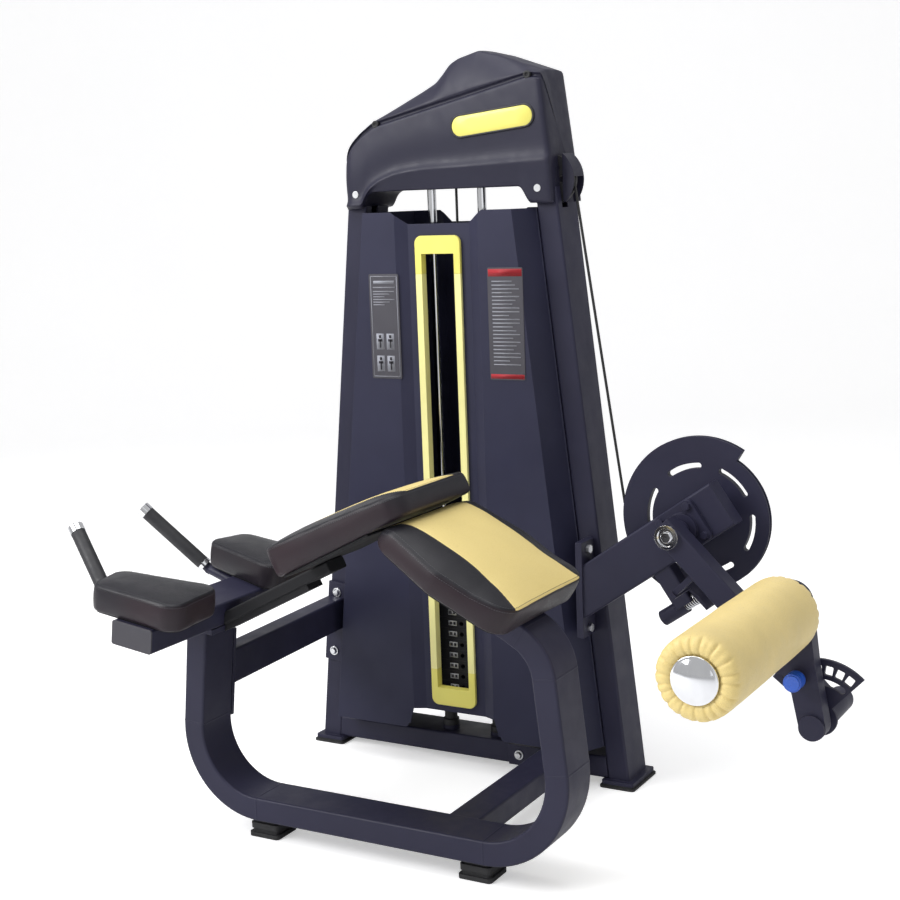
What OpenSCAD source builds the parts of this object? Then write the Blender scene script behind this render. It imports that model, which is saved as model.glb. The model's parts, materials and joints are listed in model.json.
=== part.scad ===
// Lying leg curl with a selectorised weight stack.
// X runs along the bench towards the feet, Y from the bench towards the stack tower, Z up.
// Every module is drawn with X = 0 on the tower's middle plane and Y = 0 on the bench's middle
// plane; in_row_frame() then moves the origin to the underside of the bench's right floor foot.

/* [Tubes] */
// Narrow side of the main rectangular tube
tube_w = 50; // [45:1:55]
// Wide side of the main rectangular tube
tube_d = 100; // [90:1:110]
// Wall thickness of every tube
tube_t = 3; // [2:0.5:4]
// Outer corner radius of every tube
tube_r = 5; // [4:0.5:8]

/* [Tower] */
// Half width over the two uprights at floor level
tower_half = 410; // [400:1:420]
// How far each upright leans inwards, in degrees
tower_lean = 6.28; // [5.5:0.1:7]
// Distance from the bench's middle plane to the front of the uprights
tower_y = 533; // [525:1:560]
// Height of the uprights' top ends
upright_top = 1328; // [1324:1:1330]
// Height of the underside of the top shroud
hood_base = 1292; // [1285:1:1298]

/* [Bench] */
// Height of the bottom rail's underside
rail_z = 41.6; // [38:0.2:45]
// Slope of the chest pad, in degrees
chest_slope = 26.3; // [22:0.1:28]
// Slope of the thigh pad, in degrees
thigh_slope = 30.2; // [28:0.1:31]
// Tilt of the elbow rest, in degrees
elbow_tilt = 7.7; // [5:0.1:9]

/* [Lever] */
// Knee pivot, distance to the right of the tower's middle plane
pivot_x = 572; // [565:1:580]
// Knee pivot, height above the floor
pivot_z = 618; // [610:1:625]
// Slope of the lever below the horizontal at rest, in degrees
lever_slope = 45; // [44:0.5:46]
// Radius of the cam to the middle of the cable
cam_pitch_r = 172; // [170:1:174]
// Diameter of the ankle roller
roller_dia = 148; // [140:1:150]
// Which plate the selector pin is in, counted from the top
selected_plate = 5; // [3:1:9]

/* [Hidden] */
$fn = 64;
HULL_FN = 32;
gap = 0.3;                        // clearance between neighbouring pieces
run = 0.05;                       // radial clearance of a running fit
big = 3000;

bench_foot_x = 326;               // centre of the bench's right floor foot
foot_half_base = tower_half - tube_w / 2;
lean_slope = tan(tower_lean);
tower_back = tower_y + tube_d;
tower_mid = tower_y + tube_d / 2;
stack_y = 570;                    // plane of the weight stack, the pulleys and the cam
foot_t = 8;                       // rubber under every floor foot
plate_t = 8;                      // thickness of flange and foot plates
rail_h = 50;

module in_row_frame() { translate([-bench_foot_x, 0, 0]) children(); }

// ---------- shared shapes ----------
module rrect(w, h, r) {
    square([w - 2 * r, h], center = true);
    square([w, h - 2 * r], center = true);
    for (sx = [-1, 1], sy = [-1, 1])
        translate([sx * (w / 2 - r), sy * (h / 2 - r)]) circle(r);
}
module tube_section(w, h) {
    difference() {
        rrect(w, h, tube_r);
        rrect(w - 2 * tube_t, h - 2 * tube_t, tube_r - tube_t);
    }
}
// A tube along +Z from the origin
module tube(w, h, len) { linear_extrude(len) tube_section(w, h); }
// Turns +Z to point along +Y
module along_y() { rotate([-90, 0, 0]) children(); }
// A round bar along +Y from y0 to y1 at (x, z)
module bar_y(x, z, y0, y1, r) { translate([x, y0, z]) along_y() cylinder(h = y1 - y0, r = r); }
// Draws a flat XZ outline as a plate between two Y positions
module plate_y(y0, y1) { translate([0, y1, 0]) rotate([90, 0, 0]) linear_extrude(y1 - y0) children(); }
module both_sides() { children(); mirror([1, 0, 0]) children(); }
module both_ends() { children(); mirror([0, 1, 0]) children(); }
// Hexagon bolt head or nut, axis +Z, sitting on z = 0
module hex_head(af, h) { cylinder(h = h, d = af / cos(30), $fn = 6); }
module on_pivot() { translate([pivot_x, 0, pivot_z]) children(); }

// ---------- tower ----------
module lean_in() { translate([tower_half, 0, 0]) rotate([0, -tower_lean, 0]) children(); }
module upright_blank(z_top) {
    difference() {
        lean_in() translate([-tube_w / 2, tower_mid, -60]) tube(tube_w, tube_d, big / 2);
        translate([0, 0, -big / 2]) cube([big, big, big + 2 * (foot_t + plate_t)], center = true);
        translate([0, 0, z_top + big / 2]) cube([big, big * 2, big], center = true);
    }
}
module foot_plate(x, y, w, d) {
    translate([x, y, foot_t]) linear_extrude(plate_t) rrect(w, d, 6);
}
foot_margin = 13;
upright_foot_x = tower_half - tube_w / 2 - 1;
module upright() {
    difference() {
        union() {
            upright_blank(upright_top);
            foot_plate(upright_foot_x, tower_mid, tube_w + 2 * foot_margin, tube_d + 2 * foot_margin);
        }
        for (z = bridge_bolt_z)
            bar_y(bridge_bolt_x(z), z, tower_y - 1, tower_back + 1, 5.2);
        // slot in the head of the upright, for the side pulley
        translate([100, stack_y - slot_w / 2, side_pulley_z - 60]) cube([300, slot_w, 200]);
    }
}
module left_upright() { color("#3d3f4b") mirror([1, 0, 0]) upright(); }
module right_upright() {
    color("#3d3f4b") {
        upright();
        tower_flange();
    }
}
// Flange standing forward off the right upright, where the pivot beam bolts on
flange_x = 328.6;
flange_z = [355, 567];
flange_y = [468, tower_y];
module flange_outline() {
    translate([flange_y[0], flange_z[0]])
        square([flange_y[1] - flange_y[0], flange_z[1] - flange_z[0]]);
}
flange_bolt_y = 495;
flange_bolt_z = [flange_z[0] + 18, flange_z[1] - 18];
module flange_plate(x, t, y0, y1) {
    difference() {
        translate([x, y0, flange_z[0]]) cube([t, y1 - y0, flange_z[1] - flange_z[0]]);
        for (z = flange_bolt_z)
            translate([x - 1, flange_bolt_y, z]) rotate([0, 90, 0]) cylinder(h = t + 2, r = 5.5);
    }
}
module tower_flange() { flange_plate(flange_x - plate_t, plate_t, flange_y[0], tower_y + 1); }

rail_half = tower_half - tube_w / cos(tower_lean) - lean_slope * 20;
module base_rail() {
    color("#3d3f4b") difference() {
        union() {
            difference() {
                translate([-big / 4, tower_mid, foot_t + plate_t + rail_h / 2]) rotate([0, 90, 0])
                    tube(rail_h, tube_d, big / 2);
                both_sides() lean_in() translate([-tube_w - gap, -big / 2, -big / 2]) cube(big);
            }
            // seats for the guide rods
            for (s = [-1, 1]) translate([s * rod_x, stack_y, foot_t + plate_t + rail_h - 1])
                cylinder(h = 11, r = 20);
        }
        for (s = [-1, 1]) translate([s * rod_x, stack_y, foot_t + plate_t + rail_h - 10])
            cylinder(h = 40, r = rod_r + gap);
        for (x = floor_bolt_x) bar_y(x, floor_bolt_z, tower_y - 1, tower_y + tube_t + 1, 5.5);
    }
}
module tower_feet() {
    color("#1b1b1f") both_sides() translate([upright_foot_x, tower_mid, 0]) {
        linear_extrude(foot_t / 2 + 1)
            rrect(tube_w + 2 * foot_margin + 8, tube_d + 2 * foot_margin + 8, 8);
        translate([0, 0, foot_t / 2])
            linear_extrude(foot_t / 2) rrect(tube_w + 2 * foot_margin, tube_d + 2 * foot_margin, 6);
    }
}

// ---------- pulley bridge ----------
pulley_r = 50;                    // radius to the middle of the cable
pulley_z = 1430;
side_pulley_x = 240;
side_pulley_z = 1343;
rim_r = 54;                       // outside of the pulley's flanges
axle_r = 8;
bridge_t = 6;
bridge_bolt_z = [1303, 1317];
pulleys = [[pulley_r, pulley_z], [side_pulley_x, side_pulley_z]];
function bridge_bolt_x(z) = tower_half - lean_slope * z - tube_w / 2;
bridge_top = 1374;
clamp_z = 1353;                   // bolts through the rod clamp blocks
clamp_x = 81;
module bridge_outline() {
    difference() {
        union() {
            translate([-258, upright_top + 6]) square([517, bridge_top - upright_top - 6]);
            for (s = [-1, 1]) translate([s * 242 - 20, hood_base + 2]) square([40, 60]);
            translate([pulley_r - 30, bridge_top - 1]) square([60, pulley_z - bridge_top]);
            translate([pulley_r, pulley_z]) circle(30);
        }
        for (p = pulleys) translate(p) circle(axle_r + run);
        for (s = [-1, 1], z = bridge_bolt_z) translate([s * bridge_bolt_x(z), z]) circle(5.2);
        for (x = [-clamp_x, clamp_x]) translate([x, clamp_z]) circle(4.2);
    }
}
module bridge_plates() {
    color("#3d3f4b") {
        plate_y(tower_y - bridge_t - gap, tower_y - gap) bridge_outline();
        plate_y(tower_back + gap, tower_back + gap + bridge_t) bridge_outline();
    }
}
module through_bolt(x, z, r, y0, y1, head) {
    bar_y(x, z, y0 - 1, y1 + 1, r);
    translate([x, y0, z]) rotate([90, 0, 0]) hex_head(head, 4);
    translate([x, y1, z]) along_y() hex_head(head, 4);
}
bolt_y0 = tower_y - bridge_t - 2 * gap;
bolt_y1 = tower_back + bridge_t + 2 * gap;
module bridge_bolts() {
    color("#c8cacd") {
        // short bolts with a nut inside the upright, clear of the side pulley
        for (s = [-1, 1], z = bridge_bolt_z) translate([s * bridge_bolt_x(z), 0, z]) {
            through_bolt(0, 0, 5, bolt_y0, tower_y + tube_t + gap, 15);
            through_bolt(0, 0, 5, tower_back - tube_t - gap, bolt_y1, 15);
        }
        for (x = [-clamp_x, clamp_x]) through_bolt(x, clamp_z, 4, bolt_y0, bolt_y1, 13);
    }
}
module pulley_axles() {
    // one axle bolt and two spacers at each pulley
    color("#b9bcc0") for (p = pulleys) {
        through_bolt(p[0], p[1], axle_r, bolt_y0, bolt_y1, 22);
        for (y = [[tower_y, stack_y - pulley_w / 2 - gap], [stack_y + pulley_w / 2 + gap, tower_back]])
            difference() {
                bar_y(p[0], p[1], y[0], y[1], 12);
                bar_y(p[0], p[1], y[0] - 1, y[1] + 1, axle_r + gap);
            }
    }
}
cable_r = 3;
pulley_w = 22;
slot_w = pulley_w + 6;             // slots the side pulley reaches out through
module pulley(p) {
    translate([p[0], stack_y, p[1]]) rotate([90, 0, 0]) difference() {
        rotate_extrude($fn = 96) difference() {
            translate([axle_r + run, -pulley_w / 2]) square([rim_r - axle_r, pulley_w]);
            translate([pulley_r, 0]) circle(cable_r + gap);
            translate([pulley_r, -cable_r - gap]) square([20, 2 * (cable_r + gap)]);
        }
        for (a = [0:60:300]) rotate(a) translate([28, 0, 0])
            cylinder(h = pulley_w + 1, r = 8, center = true);
    }
}
module centre_pulley() { color("#23242a") pulley(pulleys[0]); }
module side_pulley() { color("#23242a") pulley(pulleys[1]); }

// The cable leaves the right of the side pulley and meets the left of the cam
span = norm([pivot_x - side_pulley_x, pivot_z - side_pulley_z]);
span_dir = atan2(pivot_z - side_pulley_z, pivot_x - side_pulley_x);
cable_normal = span_dir + acos((pulley_r + cam_pitch_r) / span);
cable_len = sqrt(span * span - pow(pulley_r + cam_pitch_r, 2));
// Run between the two pulleys
top_normal = 90 + atan2(side_pulley_z - pulley_z, side_pulley_x - pulley_r);
top_len = norm(pulleys[1] - pulleys[0]);
module xz_arc(p, r, a0, a1) {
    translate([p[0], stack_y, p[1]]) rotate([90, 0, 0]) rotate([0, 0, a0])
        rotate_extrude(angle = a1 - a0, $fn = 96) translate([r, 0]) circle(cable_r);
}
// Straight cable leaving point a of a pulley towards lower angles
module cable_run(p, a, from, len) {
    translate([p[0], stack_y, p[1]]) rotate([0, -a, 0]) translate([pulley_r, 0, -from])
        rotate([180, 0, 0]) cylinder(h = len, r = cable_r);
}
// Small crimp that closes the seam between two runs of cable
module seam(p, a) {
    translate([p[0], stack_y, p[1]]) rotate([0, -a, 0]) translate([pulley_r, 0, 0])
        sphere(r = cable_r + 0.15, $fn = 32);
}
stem_top = 640;
cable_low = stem_top - 100;
groove_entry = 48;                // where the cable drops between the cam's two rims
module lift_cable() {
    color("#141417") {
        translate([0, stack_y, cable_low]) cylinder(h = pulley_z - cable_low, r = cable_r);
        xz_arc(pulleys[0], pulley_r, top_normal, 180);
        cable_run(pulleys[0], top_normal, 0, top_len);
        xz_arc(pulleys[1], pulley_r, cable_normal, top_normal);
        cable_run(pulleys[1], cable_normal, 0, cable_len - groove_entry);
        seam(pulleys[0], 180);
        seam(pulleys[0], top_normal);
        seam(pulleys[1], top_normal);
        seam(pulleys[1], cable_normal);
    }
}

// ---------- weight stack ----------
rod_x = 64;
rod_r = 10;
plate_w = 300;
plate_d = 96;
plate_h = 25;
pitch = 25.4;
stack_z = 148;                    // underside of the lowest plate
plates = 15;
stem_r = 11;
stem_bore = 7.5;
plate_top = stack_z + plates * pitch;
module rod_holes(h) {
    for (s = [-1, 1]) translate([s * rod_x, 0, -1]) cylinder(h = h + 2, r = rod_r + 0.8);
}
module stack_plate() {
    translate([0, stack_y, 0]) difference() {
        linear_extrude(plate_h) rrect(plate_w, plate_d, 6);
        rod_holes(plate_h);
        translate([0, 0, -1]) cylinder(h = plate_h + 2, r = stem_r + 1);
        translate([0, -plate_d / 2 - 1, plate_h / 2]) along_y() cylinder(h = 42, r = 5.5);
    }
}
module weight_plates() {
    color("#17181c") for (i = [0 : plates - selected_plate - 1])
        translate([0, 0, stack_z + i * pitch]) stack_plate();
}
module lifted_plates() {
    color("#17181c") for (i = [plates - selected_plate : plates - 1])
        translate([0, 0, stack_z + i * pitch]) stack_plate();
}
module top_plate() {
    color("#22242b") translate([0, stack_y, plate_top]) difference() {
        union() {
            linear_extrude(30) rrect(plate_w, plate_d, 6);
            for (s = [-1, 1]) translate([s * rod_x, 0, 29]) cylinder(h = 16, r = 18);
        }
        rod_holes(46);
        translate([0, 0, -1]) cylinder(h = 32, r = stem_r + gap);
    }
}
selected_z = stack_z + (plates - selected_plate) * pitch + plate_h / 2;
module selector_stem() {
    color("#c8cacd") translate([0, stack_y, 0]) difference() {
        union() {
            translate([0, 0, stack_z + 10]) cylinder(h = stem_top - stack_z - 10, r = stem_r);
            translate([0, 0, plate_top + 30 + gap]) cylinder(h = 14, r = stem_r + 7);
        }
        translate([0, 0, stack_z]) cylinder(h = stem_top, r = stem_bore);
        for (i = [0 : plates - 1]) translate([0, -20, stack_z + i * pitch + plate_h / 2])
            along_y() cylinder(h = 20, r = 5.5);
    }
}
pin_y = stack_y - plate_d / 2;
module selector_pin() {
    color("#e8c820") translate([0, pin_y, selected_z]) {
        rotate([90, 0, 0]) translate([0, 0, 1]) cylinder(h = 22, r = 12);
        rotate([90, 0, 0]) translate([0, 0, 22]) cylinder(h = 6, r = 15);
    }
    color("#c8cacd") translate([0, pin_y - 2, selected_z]) along_y() cylinder(h = 44, r = 4.8);
}
module guide_rods() {
    color("#d6d8da") for (s = [-1, 1]) translate([s * rod_x, stack_y, foot_t + plate_t + rail_h - 9])
        cylinder(h = clamp_z + 8 - foot_t - plate_t - rail_h, r = rod_r);
}
module rod_cushions() {
    color("#141417") for (s = [-1, 1]) translate([s * rod_x, stack_y, foot_t + plate_t + rail_h + 10 + gap])
        difference() {
            union() {
                cylinder(h = stack_z - 2 * gap - foot_t - plate_t - rail_h - 10, r = 15);
                cylinder(h = 14, r = 19);
            }
            translate([0, 0, -1]) cylinder(h = 100, r = rod_r + gap);
        }
}
module rod_clamp_block() {
    color("#3d3f4b") difference() {
        for (s = [-1, 1]) translate([s * rod_x, tower_mid, clamp_z])
            cube([56, tube_d - 2 * gap, 26], center = true);
        for (s = [-1, 1]) {
            translate([s * rod_x, stack_y, clamp_z - 20]) cylinder(h = 28, r = rod_r + gap);
            bar_y(s * clamp_x, clamp_z, tower_y - 9, tower_back + 9, 4.2);
        }
    }
}

// ---------- covers ----------
sheet = 2.5;
flat_y = 470;                     // front of the two side flats
panel_y = 482;                    // front of the middle panel
panel_half = 78;
flat_in = 105.5;
bevel_w = 30;                     // the outer bevel's width
cover_top = 1284;
cover_mid_top = 1257;
cover_foot = 90;
panel_foot = 138;
foot_half = [107, 120];            // half widths of the opening under the panel, top and bottom
corner_r = 20;
window_z = [155, 1231];
window_half = 57;
window_open = 41;
module cover_section(t) {
    // plan outline of the middle panel, its two bevels and the flats
    polygon([[-400, flat_y], [-flat_in, flat_y], [-panel_half, panel_y], [panel_half, panel_y],
        [flat_in, flat_y], [400, flat_y], [400, flat_y + t], [flat_in + 1, flat_y + t],
        [panel_half + 1, panel_y + t], [-panel_half - 1, panel_y + t],
        [-flat_in - 1, flat_y + t], [-400, flat_y + t]]);
}
module cover_front_view(top, mid_top) {
    // front outline of the cover's middle, as an XZ shape
    notch = flat_in + 10;
    difference() {
        translate([-400, cover_foot]) square([800, top - cover_foot]);
        polygon([[-notch, top + 1], [-notch, top], [-panel_half, mid_top], [panel_half, mid_top],
            [notch, top], [notch, top + 1]]);
        // opening under the middle panel, widening downwards, with rounded corners on the flats
        polygon([[-foot_half[1], cover_foot - 1], [-foot_half[0], panel_foot],
            [foot_half[0], panel_foot], [foot_half[1], cover_foot - 1]]);
        for (s = [-1, 1]) translate([s * foot_half[1], cover_foot]) difference() {
            translate([-corner_r / 2, -1]) square([corner_r, corner_r / 2 + 1]);
            translate([s * corner_r * 0.6, corner_r / 2]) circle(corner_r / 2);
        }
    }
}
module outer_bevel(t) {
    polygon([[-tube_w - bevel_w, flat_y], [-tube_w - gap - 2, tower_y - 1],
        [-tube_w - gap, tower_y - 1], [-tube_w - gap, tower_y + 25], [-tube_w - gap - t, tower_y + 25],
        [-tube_w - gap - t, tower_y + 1], [-tube_w - bevel_w - 2.6, flat_y + t],
        [-tube_w - bevel_w - 2.6, flat_y]]);
}
module cover_shell(window) {
    difference() {
        union() {
            intersection() {
                translate([0, 0, cover_foot - 10]) linear_extrude(cover_top) cover_section(sheet);
                plate_y(flat_y - 5, tower_y) cover_front_view(cover_top, cover_mid_top);
                between_bevels();
            }
            both_sides() intersection() {
                lean_in() translate([0, 0, -50]) linear_extrude(big / 2) outer_bevel(sheet);
                translate([0, flat_y - 5, cover_foot]) cube([600, 120, cover_top - cover_foot]);
            }
        }
        if (window) plate_y(panel_y - 5, panel_y + 10)
            translate([0, (window_z[0] + window_z[1]) / 2])
                rrect(2 * (window_half - 9), window_z[1] - window_z[0] - 18, 8);
    }
}
// Everything between the two leaning edges of the flats
module between_bevels() {
    intersection() {
        lean_in() translate([-tube_w - bevel_w - big, 0, -big / 2]) cube([big, big / 2, big]);
        mirror([1, 0, 0]) lean_in()
            translate([-tube_w - bevel_w - big, 0, -big / 2]) cube([big, big / 2, big]);
    }
}
module front_cover() { color("#43454f") cover_shell(true); }
module rear_cover() {
    color("#34353e") translate([0, 2 * tower_mid, 0]) mirror([0, 1, 0]) cover_shell(false);
}
module panel_screws() {
    color("#b9bcc0") {
        // pan heads on the covers' side flanges
        both_sides() for (z = [220, 700, 1180], y = [tower_y + 14, tower_back - 14])
            lean_in() translate([-tube_w - 2 * gap - sheet, y, z]) rotate([0, -90, 0])
                cylinder(h = 3, r = 6);
        // pan heads at the hood's lower front corners
        both_sides() translate([231, hood_y - gap, 1326]) rotate([90, 0, 0]) cylinder(h = 2.5, r = 8);
    }
}
module trim_ring(z0, z1) {
    // slice of the window trim between two heights
    intersection() {
        difference() {
            union() {
                plate_y(panel_y - 8, panel_y - gap) translate([0, (window_z[0] + window_z[1]) / 2])
                    rrect(2 * window_half, window_z[1] - window_z[0], 17);
                plate_y(panel_y - 1, panel_y + 12) translate([0, (window_z[0] + window_z[1]) / 2])
                    rrect(2 * (window_half - 9.5), window_z[1] - window_z[0] - 19, 8);
            }
            plate_y(panel_y - 9, panel_y + 13) translate([-window_open, window_z[0] + 41])
                square([2 * window_open, window_z[1] - window_z[0] - 81]);
        }
        translate([-100, panel_y - 20, z0]) cube([200, 60, z1 - z0]);
    }
}
cap_h = 84;
module window_top_cap() { color("#f2e76b") trim_ring(window_z[1] - cap_h, window_z[1] + 1); }
module window_bottom_cap() { color("#e3d53a") trim_ring(window_z[0] - 1, window_z[0] + cap_h); }
module window_strips() {
    color("#f2e76b") trim_ring(window_z[0] + cap_h + gap, window_z[1] - cap_h - gap);
}
placard_t = 1;
module placard(x, z0, z1, w) {
    translate([x, 0, (z0 + z1) / 2]) plate_y(flat_y - placard_t - 0.1, flat_y - 0.1) rrect(w, z1 - z0, 4);
}
module placards() {
    color("#8f939c") {
        placard(-139, 912, 1148, 78);
        placard(169, 916, 1160, 86);
    }
}

// ---------- hood ----------
hood_y = 514;                     // front face
hood_split = 550;                 // where the front shell meets the rear shell
hood_back = 652;
hood_half = 273;
hood_wall = 3;
hood_room = hood_half - hood_wall - 1.2;
// The left shoulder is a quarter ellipse
shoulder_c = [-214, 1374];
shoulder_x = 52;
shoulder_z = 82;
function shoulder(inset) = [for (a = [10 : 10 : 60])
    shoulder_c + [inset - shoulder_x * cos(a), shoulder_z * sin(a)]];
// Front shell: a straight upper edge rising from the shoulder to the right
module front_outline(inset) {
    polygon(concat([[-hood_half + inset, hood_base - 1], [-hood_half + 3 + inset, 1374]], shoulder(inset),
        [[-205, 1461 - inset], [205 - inset / 2, 1568 - inset], [243 - inset, 1562 - inset],
        [hood_half - 10 - inset, 1400], [hood_half - inset, hood_base - 1]]));
}
// Rear shell: climbs to a peak right of the middle
module rear_outline(inset) {
    polygon(concat([[-hood_half + inset, hood_base - 1], [-hood_half + 3 + inset, 1374]], shoulder(inset),
        [[-170, 1482 - inset], [-60, 1532 - inset], [-9, 1563 - inset], [30, 1602 - inset],
        [92, 1622 - inset], [150, 1606 - inset], [237 - inset, 1578 - inset],
        [hood_half - 10 - inset, 1400], [hood_half - inset, hood_base - 1]]));
}
arch_top = 1331;
module arch_cut() {
    polygon([[-214, hood_base - 2], [-205, 1315], [-188, arch_top], [188, arch_top],
        [210, hood_base - 2]]);
}
module hood_front() {
    color("#464956") difference() {
        plate_y(hood_y, hood_split) front_outline(0);
        plate_y(hood_y + hood_wall, hood_split + 1) front_outline(hood_wall + 1);
        plate_y(hood_y - 1, hood_split + 1) arch_cut();
    }
}
module hood_rear() {
    color("#3c3e4a") difference() {
        plate_y(hood_split + gap, hood_back) rear_outline(0);
        plate_y(hood_split + hood_wall, hood_back - hood_wall) rear_outline(hood_wall + 1);
        plate_y(hood_split - 1, hood_split + 10) translate([0, -6]) front_outline(hood_wall + 6);
        plate_y(hood_split - 1, hood_back + 1) arch_cut();
        // room for the heads of the uprights
        plate_y(hood_split - 1, hood_split + 10) translate([-hood_room, hood_base - 2])
            square([2 * hood_room, upright_top - hood_base + 6]);
        // slot where the side pulley and the cable reach out
        translate([250, stack_y - slot_w / 2, hood_base - 2]) cube([30, slot_w, bump_h + 8]);
    }
}
// Rounded cover over the side pulley, standing off the hood's right side
bump_y = 580;
bump_w = 52;
bump_h = 104;
bump_r = 70;
bump_wall = 2.5;
bump_open = 58;                   // height of its open foot, clear of the cable
module pulley_cover() {
    color("#34353e") difference() {
        intersection() {
            translate([hood_half - 2 + gap, bump_y - bump_w / 2, hood_base + 2]) cube([34, bump_w, bump_h]);
            bump_drum(bump_r, bump_w + 4);
        }
        bump_drum(bump_r - bump_wall, bump_w - 2 * bump_wall);
        // open underneath, for the cable
        translate([hood_half - 10, bump_y - bump_w / 2 + bump_wall, hood_base - 2])
            cube([40, bump_w - 2 * bump_wall, bump_open]);
        plate_y(bump_y - bump_w, bump_y + bump_w) rear_outline(-gap);
    }
}
module bump_drum(r, w) {
    translate([side_pulley_x - 12, bump_y, side_pulley_z]) rotate([90, 0, 0])
        cylinder(h = w, r = r, center = true, $fn = 96);
}
badge_tilt = 5.6;
module badge() {
    color("#f2e76b") plate_y(hood_y - 3, hood_y - gap) translate([128, 1472]) rotate(badge_tilt)
        rrect(196, 46, 22.9);
}

// ---------- bench frame ----------
half_w = tube_w / 2;
left_bend_r = 153;
right_bend_r = 162;
top_bend_r = 100;
rail_mid = rail_z + half_w;
left_leg_x0 = -386 + half_w / cos(tower_lean);      // leg centreline where it would meet the floor
right_leg_x0 = 568 - half_w / cos(tower_lean);
left_c = [left_leg_x0 + lean_slope * (rail_mid + left_bend_r) + left_bend_r / cos(tower_lean),
    rail_mid + left_bend_r];
right_c = [right_leg_x0 - lean_slope * (rail_mid + right_bend_r) - right_bend_r / cos(tower_lean),
    rail_mid + right_bend_r];
right_top_z = 430;
top_run = 190;
left_leg_len = 270;
module bend(c, r, a0, a1) {
    translate([c[0], 0, c[1]]) rotate([90, 0, 0]) rotate([0, 0, a0])
        rotate_extrude(angle = a1 - a0, $fn = 128) translate([r, 0]) tube_section(tube_w, tube_d);
}
// Weld bead round the tube where a straight run meets a bend
bead = 0.4;
module splice(x, z, heading) {
    translate([x, 0, z]) rotate([0, 90 - heading, 0]) translate([0, 0, -1.5]) linear_extrude(3)
        difference() {
            rrect(tube_w + 2 * bead, tube_d + 2 * bead, tube_r + bead);
            rrect(tube_w - 2 * (tube_t + bead), tube_d - 2 * (tube_t + bead), tube_r - tube_t - bead);
        }
}
module run_from(x, z, heading, len) {
    translate([x, 0, z]) rotate([0, 90 - heading, 0]) tube(tube_w, tube_d, len);
}
top_c = [right_leg_x0 - lean_slope * right_top_z - top_bend_r * cos(tower_lean),
    right_top_z - top_bend_r * sin(tower_lean)];
top_end_a = 90 - thigh_slope;
crossbar_x = -300;
crossbar_z = 482.1;
module bench_frame() {
    left_start = [left_c[0] - left_bend_r * cos(tower_lean), left_c[1] + left_bend_r * sin(tower_lean)];
    right_start = [right_c[0] + right_bend_r * cos(tower_lean), right_c[1] + right_bend_r * sin(tower_lean)];
    color("#3d3f4b") {
        difference() {
            run_from(left_start[0], left_start[1], 90 - tower_lean, left_leg_len);
            translate([crossbar_x, 0, crossbar_z]) rotate([0, elbow_tilt, 0])
                translate([0, 0, big / 2 - half_w - gap - 5]) cube(big, center = true);
        }
        bend(left_c, left_bend_r, 180 - tower_lean, 270);
        run_from(left_c[0], rail_mid, 0, right_c[0] - left_c[0]);
        bend(right_c, right_bend_r, -90, tower_lean);
        run_from(right_start[0], right_start[1], 90 + tower_lean,
            (right_top_z - right_start[1]) / cos(tower_lean));
        bend(top_c, top_bend_r, tower_lean, top_end_a);
        run_from(top_c[0] + top_bend_r * cos(top_end_a), top_c[1] + top_bend_r * sin(top_end_a),
            top_end_a + 90, top_run);
        splice(left_start[0], left_start[1], 90 - tower_lean);
        splice(left_c[0], rail_mid, 0);
        splice(right_c[0], rail_mid, 0);
        splice(right_start[0], right_start[1], 90 + tower_lean);
        splice(top_c[0] + top_bend_r * cos(tower_lean), right_top_z, 90 + tower_lean);
        splice(top_c[0] + top_bend_r * cos(top_end_a), top_c[1] + top_bend_r * sin(top_end_a),
            top_end_a + 90);
        // head plate under the elbow rest
        translate([crossbar_x, 0, crossbar_z]) rotate([0, elbow_tilt, 0])
            translate([-54, -70, -half_w - gap - 11]) cube([54 + tube_d / 2, 140, 11]);
    }
}
bench_feet_x = [-178, bench_foot_x];
foot_w = 74;
foot_h = 30;
module bench_feet() {
    // stepped rubber pads on a post under the rail
    color("#1b1b1f") for (x = bench_feet_x) translate([x, 0, 0]) {
        linear_extrude(9) rrect(foot_w, foot_w - 2, 8);
        translate([0, 0, 9]) linear_extrude(8) rrect(foot_w - 12, foot_w - 14, 6);
        translate([0, 0, 17]) linear_extrude(foot_h - 17) rrect(foot_w - 6, foot_w - 8, 7);
        translate([0, 0, foot_h]) linear_extrude(rail_z - foot_h - bead - gap)
            rrect(foot_w - 18, foot_w - 16, 6);
    }
}

// ---------- beams between bench and tower ----------
link_z = 333;
link_h = 74;
link_y = [tube_d / 2 + plate_t + bead + gap, tower_y - plate_t - gap];
link_flange_h = 196;
link_flange_z = [325, 308];        // middles of the bench's and the tower's flange
link_bolt = 74;                   // half spacing of each flange's two bolts
link_flange_w = 49.6;
function leg_x(z) = left_leg_x0 + lean_slope * z;
function upright_x(z) = -(tower_half - half_w - lean_slope * z);
module left_link_beam() {
    color("#3d3f4b") {
        difference() {
            // the beam runs from the bench's left leg out to the left upright
            reach = [upright_x(link_z) - leg_x(link_z), link_y[1] - link_y[0]];
            skew = atan2(reach[0], reach[1]);
            translate([leg_x(link_z), link_y[0] - plate_t - gap, link_z]) rotate([0, 0, -skew])
                along_y() tube(tube_w, link_h, norm(reach) + 20);
            translate([-big / 2, -big + link_y[0] - 1, 0]) cube(big);
            translate([-big / 2, link_y[1] + 1, 0]) cube(big);
        }
        for (e = [0, 1]) difference() {
            at_link(e) translate([-link_flange_w / 2, e == 0 ? -plate_t : 0, -link_flange_h / 2])
                cube([link_flange_w, plate_t, link_flange_h]);
            for (s = [-1, 1]) at_link(e) translate([0, -plate_t - 1, s * link_bolt])
                along_y() cylinder(h = 2 * plate_t + 2, r = 5.5);
        }
    }
}
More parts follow.
